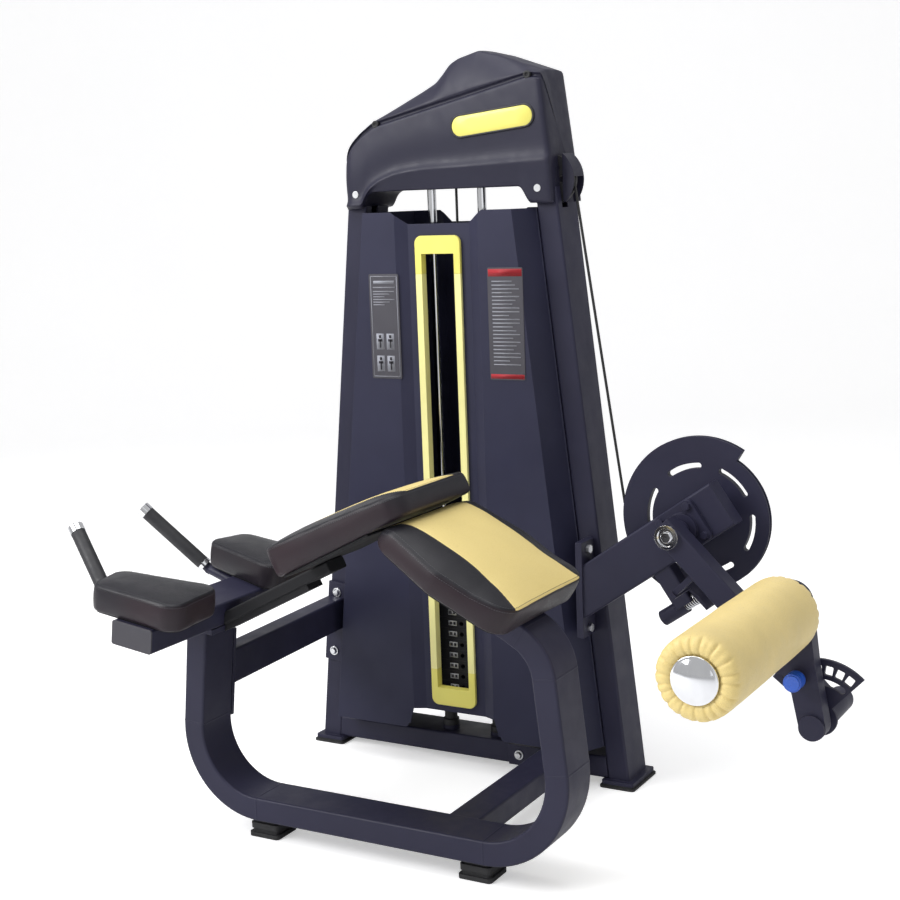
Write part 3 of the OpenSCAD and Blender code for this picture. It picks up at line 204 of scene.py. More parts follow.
def metal(name, base, rough, streak=(1, 1, 1), amount=0.1):
    m = Mat(name)
    smear = m.noise(40, 5, vec=m.coords(streak))
    m.set(color=m.mix(m.ramp(smear, [(0.3, 0.0), (0.7, 1.0)]), shade(base, 0.9), base), metal=1.0,
          rough=m.ramp(smear, [(0.25, rough), (0.75, rough + amount)]))
    m.round_edges(0.0007).bump(m.noise(700, 2, vec=m.coords(streak)), 0.00003, 0.4)
    return m.done()


def rubber(name, base, rough=0.62):
    m = Mat(name)
    dust = m.ramp(m.noise(14, 6, 0.7), [(0.45, 0.0), (0.8, 1.0)])
    m.set(color=m.mix(m.math("MULTIPLY", dust, 0.35), base, tuple(c + 0.03 for c in base)),
          rough=m.ramp(m.noise(60, 4), [(0.3, rough - 0.08), (0.7, rough + 0.1)]))
    m.round_edges(0.0012).bump(m.noise(1100, 3), 0.00012, 0.6)
    return m.done()


def leather_maps(m, scale=430):
    """Pebbled vinyl grain with soft creases. Returns (grain height, crease height)."""
    grain = m.ramp(m.voronoi(scale), [(0.0, 0.0), (0.12, 0.85), (0.5, 1.0)])
    crease = m.noise(26, 5, 0.6, distortion=0.6)
    return grain, crease


def vinyl(name, base, rough=0.36, tint=(0.35, 0.2, 0.2)):
    m = Mat(name)
    grain, crease = leather_maps(m)
    patch = m.ramp(m.noise(6, 3), [(0.3, 0.0), (0.75, 1.0)])
    col = m.mix(patch, base, tuple(b * 0.8 + 0.03 * t for b, t in zip(base, tint)))
    pits = m.math("MULTIPLY", m.ramp(grain, [(0.0, 1.0), (0.6, 0.0)]), 0.5)
    m.set(color=m.mix(pits, col, shade(base, 0.55)),
          rough=m.ramp(crease, [(0.25, rough - 0.06), (0.75, rough + 0.12)]), sheen=0.08, spec=0.55)
    m.bump(crease, 0.0012, 0.22).bump(grain, 0.00022, 0.5)
    return m.done()


CHARCOAL = (0.023, 0.0225, 0.046)
MATS = {
    "frame_paint": powder_coat("frame_paint", CHARCOAL),
    "cover_paint": powder_coat("cover_paint", (0.023, 0.0235, 0.050), rough=0.46),
    "hood_plastic": moulded("hood_plastic", (0.0185, 0.018, 0.036), 0.42, spec=0.3),
    "yellow_plastic": moulded("yellow_plastic", (0.80, 0.73, 0.16), 0.34, 900, 0.15),
    "placard_plastic": moulded("placard_plastic", (0.045, 0.043, 0.055), 0.45),
    "plate_iron": powder_coat("plate_iron", (0.012, 0.012, 0.015), rough=0.5, grain=420),
    "chrome_parts": metal("chrome_parts", (0.86, 0.87, 0.90), 0.06, (1, 1, 0.2), 0.08),
    "zinc_parts": metal("zinc_parts", (0.72, 0.73, 0.75), 0.24),
    "black_rubber": rubber("black_rubber", (0.014, 0.014, 0.016)),
    "cable_jacket": rubber("cable_jacket", (0.010, 0.010, 0.012), 0.4),
    "pulley_plastic": moulded("pulley_plastic", (0.02, 0.02, 0.024), 0.45),
    "black_vinyl": vinyl("black_vinyl", (0.016, 0.015, 0.020)),
    "yellow_vinyl": vinyl("yellow_vinyl", (0.93, 0.73, 0.29), 0.42, (0.1, 0.0, 0.0)),
    "board_black": powder_coat("board_black", (0.012, 0.012, 0.014), rough=0.6, grain=300),
    "blue_plastic": moulded("blue_plastic", (0.02, 0.11, 0.62), 0.28, 900, 0.3),
    "grip_rubber": rubber("grip_rubber", (0.018, 0.018, 0.022), 0.55),
}
SLOT = {s["node"]: s["material_slot"] for s in frame["record"]["subparts"]}
for name, obj in NODES.items():
    obj.data.materials.clear()
    obj.data.materials.append(MATS[SLOT[name]])
# the long strips of the window trim are a paler plastic than its caps, and the bracket is near black
for name, mat in (("window_strips", moulded("pale_trim", (0.86, 0.81, 0.34), 0.34, 900, 0.15)),
                  ("pad_bracket", MATS["board_black"])):
    NODES[name].data.materials[0] = mat

# ------------------------------------------------------------------ shared mesh helpers
def make(name, verts, faces, mat, body="frame", matrix=None, slot=None):
    """A mesh object from row-frame (or, with a matrix, local) points, riding on a CAD body."""
    me = bpy.data.meshes.new(name)
    me.from_pydata([tuple(v) for v in verts], [], faces)
    bm = bmesh.new()
    bm.from_mesh(me)
    bmesh.ops.remove_doubles(bm, verts=bm.verts, dist=1e-6)
    bmesh.ops.recalc_face_normals(bm, faces=bm.faces)
    bm.to_mesh(me)
    bm.free()
    for p in me.polygons:
        p.use_smooth = True
    ob = bpy.data.objects.new(name, me)
    bpy.context.collection.objects.link(ob)
    ob.data.materials.append(mat)
    if matrix is not None:
        ob.matrix_world = matrix
    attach(ob, body)
    return ob


def local_frame(x, z, tilt):
    """Frame at a point of the middle plane, turned by tilt degrees about +Y, as the CAD turns it."""
    return Matrix.Translation(P(x, 0, z)) @ Matrix.Rotation(math.radians(tilt), 4, "Y")


def subdivide(ob):
    """Applies one Catmull-Clark subdivision to the object's mesh."""
    mod = ob.modifiers.new("smooth", "SUBSURF")
    mod.levels = mod.render_levels = 1
    bake(ob)


def bake(ob):
    """Writes the evaluated mesh back into the object and clears its modifiers."""
    graph = bpy.context.evaluated_depsgraph_get()
    me = bpy.data.meshes.new_from_object(ob.evaluated_get(graph))
    ob.modifiers.clear()
    mats = list(ob.data.materials)
    ob.data = me
    me.materials.clear()
    for m in mats:
        me.materials.append(m)
    for p in me.polygons:
        p.use_smooth = True


def grid_faces(rows, cols, wrap_cols=False, wrap_rows=False, start=0):
    """Quads between neighbouring rows of points, which may close on themselves either way."""
    faces = []
    for i in range(rows if wrap_rows else rows - 1):
        for j in range(cols if wrap_cols else cols - 1):
            a, b = i, (i + 1) % rows
            c, d = j, (j + 1) % cols
            low, high = start + a * cols, start + b * cols
            faces.append((low + c, low + d, high + d, high + c))
    return faces


def revolve(profile, centre, n=96, wobble=None):
    """Turns (distance along Y, radius) pairs in millimetres about the Y axis through a centre."""
    verts = []
    for y, r in profile:
        for j in range(n):
            a = 2 * math.pi * j / n
            dy, dr = wobble(a, y, r) if wobble else (0.0, 0.0)
            verts.append(P(centre[0] + (r + dr) * math.cos(a), y + dy, centre[1] + (r + dr) * math.sin(a)))
    return verts, grid_faces(len(profile), n, wrap_cols=True)


def rounded_bar(x0, x1, z0, z1, y0, y1, r, n=5):
    """Verts and faces of a thin plate in the XZ plane with round corners and a small front chamfer."""
    ring = []
    corners = ((x1 - r, z1 - r, 0), (x0 + r, z1 - r, 90), (x0 + r, z0 + r, 180), (x1 - r, z0 + r, 270))
    for cx, cz, a0 in corners:
        for k in range(n):
            a = math.radians(a0 + 90 * k / (n - 1))
            ring.append((cx, cz, r * math.cos(a), r * math.sin(a)))
    c = min(0.3, (y1 - y0) * 0.5)
    verts, m = [], len(ring)
    for y, inset in ((y1, 0), (y0 + c, 0), (y0, c)):
        k = 1 - inset / max(r, c + 0.01)
        verts += [P(cx + dx * k, y, cz + dz * k) for cx, cz, dx, dz in ring]
    faces = grid_faces(3, m, wrap_cols=True)
    faces += [tuple(range(m)), tuple(range(2 * m, 3 * m))]
    return verts, faces


def join(parts):
    """One vertex and face list out of several."""
    verts, faces = [], []
    for v, f in parts:
        n = len(verts)
        verts += v
        faces += [tuple(i + n for i in face) for face in f]
    return verts, faces


# ------------------------------------------------------------------ cushions
def hull_outline(circles, n=168):
    """Even points along the outline that wraps a set of (x, y, r) circles, in metres."""
    pts = sorted({(round(x + r * math.cos(a), 6), round(y + r * math.sin(a), 6))
                  for x, y, r in circles for a in np.linspace(0, 2 * math.pi, 60, endpoint=False)})

    def half(points):
        out = []
        for p in points:
            while len(out) > 1 and ((out[-1][0] - out[-2][0]) * (p[1] - out[-2][1])
                                    - (out[-1][1] - out[-2][1]) * (p[0] - out[-2][0])) <= 0:
                out.pop()
            out.append(p)
        return out[:-1]
    ring = np.array(half(pts) + half(pts[::-1]))
    loop = np.vstack([ring, ring[:1]])
    dist = np.concatenate([[0], np.cumsum(np.linalg.norm(np.diff(loop, axis=0), axis=1))])
    at = np.linspace(0, dist[-1], n, endpoint=False)
    return np.stack([np.interp(at, dist, loop[:, k]) for k in (0, 1)], 1) * MM


def outward(ring):
    """Outward normals and tangents of a closed ring of points."""
    t = np.roll(ring, -1, 0) - np.roll(ring, 1, 0)
    t /= np.linalg.norm(t, axis=1)[:, None]
    return np.stack([t[:, 1], -t[:, 0]], 1), t


SEAM_INSET = 2.7          # how far the top seam lies inside the pad's outline, in millimetres
FAR = 9.0                 # a distance in metres that is beyond every sewn line


class Cushion:
    """A stuffed pad in its own frame: flat base, side wall, sewn top seam and crowned top."""

    def __init__(self, circles, seam, crown, pull=2.0):
        self.ring = hull_outline(circles)
        self.out, self.along = outward(self.ring)
        self.mid = self.ring.mean(0)
        # sides pull in a little between the corners
        turn = np.abs(np.cross(self.along, np.roll(self.along, -6, 0)))
        flat = np.convolve(np.tile(np.exp(-turn * 6), 3), np.ones(15) / 15, "same")[len(turn):2 * len(turn)]
        self.ring = self.ring - self.out * (flat * pull * MM)[:, None]
        self.seam, self.crown = seam, crown

    def seam_at(self, x):
        return self.seam(x / MM) * MM

    def mesh(self):
        verts, cols = [], len(self.ring)

        def inset(d, z):
            for p, o in zip(self.ring, self.out):
                q = p - o * d * MM
                verts.append((q[0], q[1], z(p[0])))

        def scaled(rho, z):
            for p, o in zip(self.ring, self.out):
                q = self.mid + (p - o * 5 * MM - self.mid) * rho
                verts.append((q[0], q[1], z(q[0])))
        s = self.seam_at
        c = lambda x: self.crown(x / MM) * MM
        for rho in (0.02, 0.35, 0.7, 0.93):
            scaled(rho, lambda x: 0.3 * MM)
        inset(4.5, lambda x: 0.4 * MM)
        inset(1.6, lambda x: 3 * MM)
        for f, d in ((0.2, 0.6), (0.4, 0.0), (0.6, 0.0), (0.8, 0.8)):
            inset(d, lambda x, f=f: 3 * MM + (s(x) - 3 * MM) * f)
        inset(2.2, lambda x: s(x) - 1.0 * MM)
        inset(3.2, lambda x: s(x) + 1.0 * MM)
        for rho in (0.985, 0.95, 0.88, 0.78, 0.64, 0.46, 0.24, 0.02):
            scaled(rho, lambda x, rho=rho: s(x) + 1.5 * MM + c(x) * (1 - rho ** 3.2))
        faces = grid_faces(len(verts) // cols, cols, wrap_cols=True)
        faces += [tuple(range(cols)), tuple(range(len(verts) - cols, len(verts)))]
        return verts, faces

    def seam_gap(self, co):
        """Distance of each point from the top seam line, in metres."""
        base = self.ring - self.out * SEAM_INSET * MM
        line = np.column_stack([base, [self.seam_at(x) for x in self.ring[:, 0]]])
        gap = np.full(len(co), FAR)
        for point in line:
            gap = np.minimum(gap, np.linalg.norm(co - point, axis=1))
        return gap


def inflate(ob, pinned, cap):
    """Cloth under light pressure, stopped at a cap; the result is written into the mesh."""
    mod = ob.modifiers.new("voxels", "REMESH")
    mod.mode, mod.voxel_size = "VOXEL", 0.005
    bake(ob)
    start = np.array([v.co[:] for v in ob.data.vertices])
    group = ob.vertex_groups.new(name="pin")
    hold = pinned(start)
    for i in np.nonzero(hold > 0.05)[0]:
        group.add([int(i)], float(hold[i]), "REPLACE")
    cloth = ob.modifiers.new("cloth", "CLOTH")
    st = cloth.settings
    st.quality, st.mass = 4, 0.25
    st.tension_stiffness = st.compression_stiffness = 12
    st.bending_stiffness = 0.6
    st.use_pressure, st.uniform_pressure_force = True, 4.0
    st.vertex_group_mass = "pin"
    st.effector_weights.gravity = 0
    cloth.collision_settings.use_collision = False
    scene = bpy.context.scene
    for f in range(1, 21):
        scene.frame_set(f)
    graph = bpy.context.evaluated_depsgraph_get()
    moved = ob.evaluated_get(graph).to_mesh()
    end = np.array([v.co[:] for v in moved.vertices])
    ob.modifiers.clear()
    ob.vertex_groups.clear()
    scene.frame_set(1)
    step = end - start
    size = np.linalg.norm(step, axis=1)
    step *= (np.minimum(size, cap) / np.maximum(size, 1e-9))[:, None]
    for v, p in zip(ob.data.vertices, start + step):
        v.co = p
    for p in ob.data.polygons:
        p.use_smooth = True


def press_grooves(ob, gap_of, depth, width):
    """Sinks the surface along sewn lines: gap_of gives each point's distance from the line."""
    co = np.array([v.co[:] for v in ob.data.vertices])
    gap = gap_of(co)
    for v, g in zip(ob.data.vertices, gap):
        if g < 3 * width:
            v.co -= v.normal * depth * math.exp(-(g / width) ** 2)


def surface_tree(ob):
    me = ob.data
    return BVHTree.FromPolygons([v.co[:] for v in me.vertices], [p.vertices[:] for p in me.polygons])


def stitch_row(tree, path, length=3.4, radius=0.55):
    """Small raised stitches along a path of surface guesses, laid on the surface of the tree."""
    verts, faces = [], []
    path = np.array(path)
    seg = np.linalg.norm(np.diff(path, axis=0), axis=1)
    dist = np.concatenate([[0], np.cumsum(seg)])
    for at in np.arange(0, dist[-1], 5.0 * MM):
        p = Vector([np.interp(at, dist, path[:, k]) for k in range(3)])
        q = Vector([np.interp(min(at + 1 * MM, dist[-1]), dist, path[:, k]) for k in range(3)])
        hit, normal, _, _ = tree.find_nearest(p)
        if hit is None or (q - p).length < 1e-7:
            continue
        t = (q - p).normalized()
        t = (t - normal * t.dot(normal)).normalized()
        b = normal.cross(t)
        n0 = len(verts)
        for f, w in ((-0.5, 0.35), (-0.3, 1.0), (0.3, 1.0), (0.5, 0.35)):
            lift = 0.28 * radius * MM if abs(f) < 0.4 else -0.5 * radius * MM
            for k in range(6):
                a = k * math.pi / 3
                verts.append(hit + t * (f * length * MM) + normal * (lift + w * radius * MM * math.sin(a))
                             + b * (w * radius * 1.15 * MM * math.cos(a)))
        faces += grid_faces(4, 6, wrap_cols=True, start=n0)
        faces += [tuple(range(n0, n0 + 6)), tuple(range(n0 + 18, n0 + 24))]
    return verts, faces


def build_pad(name, node, circles, seam, crown, matrix, mat, stripe=None, cap=5.0, shrink=2.0):
    """One upholstered pad that replaces its CAD block. stripe gives the half width of the inlay at x."""
    shape = Cushion([(x, y, r - shrink) for x, y, r in circles], seam, crown)
    verts, faces = shape.mesh()
    ob = make(name, verts, faces, mat)
    ob.parent = None
    ob.matrix_world = Matrix.Identity(4)

    def stripe_gap(co):
        half = np.array([stripe(x / MM) * MM for x in co[:, 0]])
        gap = np.abs(np.abs(co[:, 1]) - half)
        top = co[:, 2] > np.array([shape.seam_at(x) for x in co[:, 0]]) + 1 * MM
        return np.where(top, gap, FAR)

    def pinned(co):
        hold = np.where(co[:, 2] < 1.5 * MM, 1.0, 0.0)
        hold = np.maximum(hold, np.clip(1.4 - shape.seam_gap(co) / (4 * MM), 0, 1))
        if stripe:
            hold = np.maximum(hold, 0.85 * np.clip(1.4 - stripe_gap(co) / (4 * MM), 0, 1))
        return hold
    inflate(ob, pinned, cap * MM)
    subdivide(ob)
    press_grooves(ob, shape.seam_gap, 1.3 * MM, 1.8 * MM)
    if stripe:
        press_grooves(ob, stripe_gap, 1.0 * MM, 1.8 * MM)
    tree = surface_tree(ob)
    ob.matrix_world = matrix
    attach(ob, "frame")
    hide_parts(node)
    rows = []
    loop = np.vstack([shape.ring, shape.ring[:1]])
    outs = np.vstack([shape.out, shape.out[:1]])
    for inset, dz in ((7.5, 2.5), (0.5, -5.0)):
        rows.append([(p[0] - o[0] * inset * MM, p[1] - o[1] * inset * MM, shape.seam_at(p[0]) + dz * MM)
                     for p, o in zip(loop, outs)])
    sew = join([stitch_row(tree, r) for r in rows])
    make(name + "_stitching", *sew, THREAD, "frame", matrix, "black_vinyl")
    if stripe:
        xs = np.linspace(loop[:, 0].min() + 9 * MM, loop[:, 0].max() - 9 * MM, 90)
        lines = [[(x, s * (stripe(x / MM) + 4) * MM, shape.seam_at(x) + 20 * MM) for x in xs]
                 for s in (-1, 1)]
        sew = join([stitch_row(tree, r) for r in lines])
        make(name + "_inlay_stitching", *sew, THREAD, "frame", matrix, "black_vinyl")
    return ob


def pad_circles(length, w0, w1, w2, r):
    return [(x, s * (w - r), r) for s in (-1, 1) for x, w in ((r, w0), (length / 2, w1), (length - r, w2))]


def striped_vinyl(name, stripe_nodes, seam_height, rise=0.0):
    """Black vinyl with a painted reddish reflection on its sides, and a yellow inlay above a seam that rises
    along the pad.
    """
    m = Mat(name)
    grain, crease = leather_maps(m)
    sep = m.node("ShaderNodeSeparateXYZ")
    m.link(m.tc.outputs["Object"], sep.inputs[0])
    half = stripe_nodes(m, sep.outputs[0])
    inside = m.math("GREATER_THAN", m.math("SUBTRACT", half, m.math("ABSOLUTE", sep.outputs[1])), 0.0)
    level = m.math("SUBTRACT", sep.outputs[2], m.math("MULTIPLY", sep.outputs[0], rise))
    top = m.math("GREATER_THAN", level, seam_height)
    mask = m.math("MULTIPLY", inside, top)
    patch = m.ramp(m.noise(6, 3), [(0.3, 0.0), (0.75, 1.0)])
    black = m.mix(patch, BLACK_VINYL, shade(BLACK_VINYL, 0.75))
    # painted reflection: a reddish tint, broken up by noise, on faces that turn sideways or down
    geo = m.node("ShaderNodeNewGeometry")
    facing = m.node("ShaderNodeSeparateXYZ")
    m.link(geo.outputs["Normal"], facing.inputs[0])
    side = m.math("MULTIPLY", m.ramp(facing.outputs[2], [(0.15, 1.0), (0.6, 0.0)]),
                  m.ramp(m.noise(3.2, 2), [(0.35, 0.0), (0.75, 1.0)]))
    black = m.mix(m.math("MULTIPLY", side, 0.6), black, (0.036, 0.013, 0.019))
    yellow = m.mix(patch, YELLOW_VINYL, shade(YELLOW_VINYL, 0.93))
    pits = m.math("MULTIPLY", m.ramp(grain, [(0.0, 1.0), (0.6, 0.0)]), 0.35)
    colour = m.mix(pits, m.mix(mask, black, yellow), m.mix(mask, (0.006, 0.006, 0.008), (0.55, 0.42, 0.15)))
    m.set(color=colour, sheen=0.02, spec=0.34,
          rough=m.math("ADD", m.ramp(crease, [(0.25, 0.30), (0.75, 0.46)]), m.math("MULTIPLY", mask, 0.12)))
    m.bump(crease, 0.0010, 0.2).bump(grain, 0.00020, 0.45)
    return m.done()


BLACK_VINYL = (0.011, 0.0105, 0.0165)
YELLOW_VINYL = (0.82, 0.66, 0.27)
# dark thread, painted lighter than the black vinyl as a highlight along the seams
THREAD = moulded("stitch_thread_painted_highlight", (0.055, 0.056, 0.065), 0.5, 2600)


class Inlay:
    """Half width of a pad's yellow inlay at x, in millimetres. It flares beyond x = start."""

    def __init__(self, half, flare, start, run, both_ways):
        self.half, self.flare, self.start, self.run, self.both_ways = half, flare, start, run, both_ways

    def at(self, x):
        t = (x - self.start) / self.run
        return self.half + self.flare * (t if self.both_ways else max(0.0, t)) ** 2

    def nodes(self, m, x):
        """The same width as shader nodes, in metres."""
        t = m.math("DIVIDE", m.math("SUBTRACT", x, self.start * MM), self.run * MM)
        if not self.both_ways:
            t = m.math("MAXIMUM", t, 0.0)
        return m.math("ADD", m.math("MULTIPLY", m.math("MULTIPLY", t, t), self.flare * MM), self.half * MM)


# length, half widths at both ends and in the middle, and corner radius of the two body pads
CHEST_LENGTH, CHEST_HALF, CHEST_CORNER = 342, (156, 153, 151), 44
THIGH_LENGTH, THIGH_HALF, THIGH_CORNER = 317, (165, 186, 172), 52
ELBOW_CIRCLES = ((-100, -168, 37), (-90, -224, 36), (63, -222, 40), (52, -133, 42))
ELBOW_SEAT = 25.5         # height of the elbow pads' base above the crossbar's middle


def chest_seam(x):
    """The chest pad thins towards its hip end."""
    return 62.0 - 20 * (min(max(x, 0), CHEST_LENGTH) / CHEST_LENGTH) ** 1.5


def thigh_seam(x):
    """The seam tucks under the chest pad at one end and rises to the knee end."""
    return 47.5 - 22 * max(0.0, (34 - x) / 34) + 12 * max(0.0, (x - 230) / 87)


def thigh_crown(x):
    """The stuffing is highest in the middle of the thigh pad."""
    return 27.0 - 21 * max(0.0, (x - 170) / 147) ** 2 - 8 * max(0.0, (90 - x) / 90)


def upholster():
    inlay = Inlay(78, 10, 165, 165, True)
    build_pad("chest_cushion", "chest_pad", pad_circles(CHEST_LENGTH, *CHEST_HALF, CHEST_CORNER),
              chest_seam, lambda x: 12.0, local_frame(-39, 590.6, -26.3),
              striped_vinyl("chest_vinyl", inlay.nodes, 0.062, -0.058), stripe=inlay.at)
    inlay = Inlay(110, 26, 170, 147, False)
    build_pad("thigh_cushion", "thigh_pad", pad_circles(THIGH_LENGTH, *THIGH_HALF, THIGH_CORNER),
              thigh_seam, thigh_crown, local_frame(192, 688, 30.2),
              striped_vinyl("thigh_vinyl", inlay.nodes, 0.025, 0.104), stripe=inlay.at)
    # elbow rests wrap over their boards on the crossbar
    plain = striped_vinyl("elbow_vinyl", lambda m, x: -1.0, 1.0)
    for side, name in ((1, "right"), (-1, "left")):
        ring = [(x, y * side, r) for x, y, r in ELBOW_CIRCLES]
        seat = local_frame(-300, 482.1, 7.7) @ Matrix.Translation((0, 0, ELBOW_SEAT * MM))
        build_pad(name + "_elbow_cushion", name + "_elbow_pad", ring, lambda x: 56.0, lambda x: 6.5, seat,
                  plain, shrink=1.5, cap=3.0)


# ------------------------------------------------------------------ ankle roller
ROLLER = (858.0, 524.0)


def ankle_roller():
    folds = [2 * math.pi * (k + 0.28 * math.sin(5.1 * k)) / 19 for k in range(19)]

    def gathers(a, y, r):
        # creases of the gathered leather on both end faces, fading over the shoulder
        end = min(abs(y + 217), abs(y - 228))
        fade = max(0.0, 1 - end / 13.0) * (1.0 if r > 43 else 0.3)
        near = min(abs((a - f + math.pi) % (2 * math.pi) - math.pi) for f in folds)
        dip = math.exp(-(near / 0.035) ** 2) - 0.35 * math.exp(-((near - 0.12) / 0.07) ** 2)
        sag = 0.5 * math.sin(3 * a + y * 0.03) + 0.35 * math.sin(7 * a - y * 0.05)
        return (dip * 3.2 * fade * (1 if y < 0 else -1), -dip * 1.6 * fade + 0.35 * sag)
    end = [(0, 14), (0.5, 42), (-4, 46), (-6, 52), (-6, 58), (-4, 64), (-0.5, 69)]
    end += [(5, 72.2), (12, 73.4), (22, 74)]
    front = [(-217 + d, r) for d, r in end]
    back = [(228 - d, r) for d, r in reversed(end)]
    body = [(y, 74 + 0.7 * math.sin(math.pi * (y + 217) / 445)) for y in np.linspace(-185, 196, 30)]
    profile = front + body + back
    verts, faces = revolve(profile, ROLLER, 228, gathers)
    rows = len(profile)
    # close the bore
    faces += [((rows - 1) * 228 + (j + 1) % 228, (rows - 1) * 228 + j, j, (j + 1) % 228) for j in range(228)]
    ob = make("ankle_roller_cover", verts, faces, MATS["yellow_vinyl"], "roller", slot="yellow_vinyl")
    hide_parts("ankle_roller")
    # lengthwise seam on the side away from the user, with its stitches
    tree = surface_tree(ob)
    rows = []
    for turn in (-112.0, -107.0):
        a = math.radians(turn)
        x, z = ROLLER[0] + 75 * math.cos(a), ROLLER[1] + 75 * math.sin(a)
        rows.append([P(x, y, z) for y in np.linspace(-200, 210, 60)])
    make("ankle_roller_stitching", *join([stitch_row(tree, r) for r in rows]), YELLOW_THREAD, "roller",
         slot="yellow_vinyl")
    # polished dome over the shaft's free end
    dome = [(-219.6, 20), (-219.6, 41.2), (-221, 42.2), (-224, 42.2), (-225.6, 41.0)]
    dome_r = 83.6
    dome += [(-152 - dome_r * math.cos(t), dome_r * math.sin(t))
             for t in np.linspace(math.asin(40 / dome_r), 0.012, 12)]
    verts, faces = revolve(dome, ROLLER, 96)
    faces.append(tuple(range(len(verts) - 96, len(verts))))
    faces.append(tuple(range(96)))
    make("roller_end_dome", verts, faces, MATS["chrome_parts"], "roller_arm", slot="chrome_parts")


# ------------------------------------------------------------------ shroud
def shroud():
    arch = ([-273, -213, -206, -198, -187, 190, 209, 278], [1292, 1294, 1312, 1324, 1330, 1330, 1294, 1292])
    bead = ([-273, -213, -203, -190, -165, -128, -90, -44, 60, 266],
            [1300, 1301, 1322, 1337, 1352, 1365, 1371, 1375, 1377, 1384])
    groove = ([-268, -263, -251, -236, -214, -177, 214, 246],
              [1374, 1400, 1424, 1441, 1460, 1482, 1568, 1563])
    crest = ([-268, -263, -251, -236, -214, -190, -120, -60, -28, -10, 8, 28, 79, 130, 239],
             [1375, 1402, 1427, 1445, 1464, 1488, 1520, 1547, 1563, 1581, 1601, 1611, 1624, 1611, 1572])
    ease = lambda n, lo, hi: [lo + (hi - lo) * (1 - math.cos(math.pi * k / n)) / 2 for k in range(n + 1)]
    u = np.array(sorted(set(ease(8, 0, 0.12) + list(np.linspace(0.12, 0.9, 66)) + ease(8, 0.9, 1))))
    rows = []

    def row(x0, x1, z_of, y_of, round_l=30.0, round_r=8.0, sign=1):
        xs = x0 + (x1 - x0) * u
        line = []
        for x in xs:
            y = y_of(x)
            for d, r in ((x - x0, round_l), (x1 - x, round_r)):
                if d < r:
                    y += sign * (r - math.sqrt(max(0.0, r * r - (r - d) ** 2)))
            line.append((x, y, z_of(x)))
        rows.append(line)

    def at(curve):
        return lambda x: float(np.interp(x, *curve))

    def between(a, b, s):
        return lambda x: (1 - s) * a(x) + s * b(x)
    za, zb, zg, zc = at(arch), at(bead), at(groove), at(crest)
    # front face: lower band, bead, cove, belly
    for s, y in ((0.0, 514.5), (0.02, 514.0), (0.5, 511.5), (0.92, 507.5), (1.0, 506.5)):
        row(-269 + s, 265 - 2 * s, between(za, zb, s), lambda x, y=y: y)
    for s, y in ((0.03, 507.3), (0.07, 510.8), (0.13, 513.2), (0.25, 513.0), (0.42, 511.0), (0.6, 510.5),
                 (0.78, 511.8), (0.86, 512.4)):
        row(-268, 263 - 19 * s, between(zb, zg, s), lambda x, y=y: y)
    for dz, y in ((-9.6, 513.0), (-8.4, 514.0), (-7.6, 521.5), (0.6, 522.0), (1.5, 514.8)):
        row(-267, 244, lambda x, dz=dz: zg(x) + dz, lambda x, y=y: y)
    # slope up to the crest and the flat top behind it
    for s, y in ((0.12, 516.5), (0.4, 523), (0.75, 533), (0.93, 541), (1.0, 546)):
        row(-266.5, 243 - 4 * s, lambda x, s=s: zg(x) + 3 + (max(zc(x), zg(x) + 4) - zg(x) - 3) * s,
            lambda x, y=y: y, 24, 8)
    for y, dz, r in ((552, 2.0, 18), (590, 3.5, 6), (630, 3.0, 6), (643, 0.5, 8)):
        row(-266, 238, lambda x, dz=dz: max(zc(x), zg(x) + 4) + dz, lambda x, y=y: y, 0.01, 0.01, -1)
    for s in (0.03, 0.25, 0.5, 0.75, 0.97, 1.0):
        row(-267 - 5 * s, 238 + 37 * s, between(lambda x: max(zc(x), zg(x) + 4) - 3, za, s),
            lambda x, s=s: 651.0 - 1.5 * (s > 0.98), 12, 12, -1)
    row(-270, 270, lambda x: za(x) + 4, lambda x: 640.0, 0.01, 0.01)
    row(-267, 262, lambda x: za(x) + 4, lambda x: 524.0, 0.01, 0.01)
    verts = [P(*p) for line in rows for p in line]
    n, cols = len(rows), len(u)
    faces = grid_faces(n, cols, wrap_rows=True)
    for j in (0, cols - 1):
        # the middle of the end wall's box, so that the fan doesn't fold over itself
        wall = np.array([verts[i * cols + j] for i in range(n)])
        mid = Vector((wall.min(0) + wall.max(0)) / 2)
        verts.append(mid)
        faces += [(i * cols + j, (i + 1) % n * cols + j, len(verts) - 1) for i in range(n)]
    ob = make("top_shroud", verts, faces, MATS["hood_plastic"], slot="hood_plastic")
    subdivide(ob)
    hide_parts("hood_front", "hood_rear")
    # two dark socket screws at the ends of the groove
    parts = []
    for x, z in ((-172, 1480), (212, 1564)):
        prof = [(521, 8.5), (514.4, 8.5), (513.0, 7.6), (512.8, 4.2), (515.2, 3.8), (515.4, 0.3)]
        v, f = revolve(prof, (x, z), 28)
        f += [tuple(range(28)), tuple(range(5 * 28, 6 * 28))]
        parts.append((v, f))
    make("shroud_screws", *join(parts), MATS["black_rubber"], slot="black_rubber")
    # badge: a plain pill in a dark rim
    tilt = Matrix.Translation(P(127, 0, 1472)) @ Matrix.Rotation(math.radians(-5.6), 4, "Y")

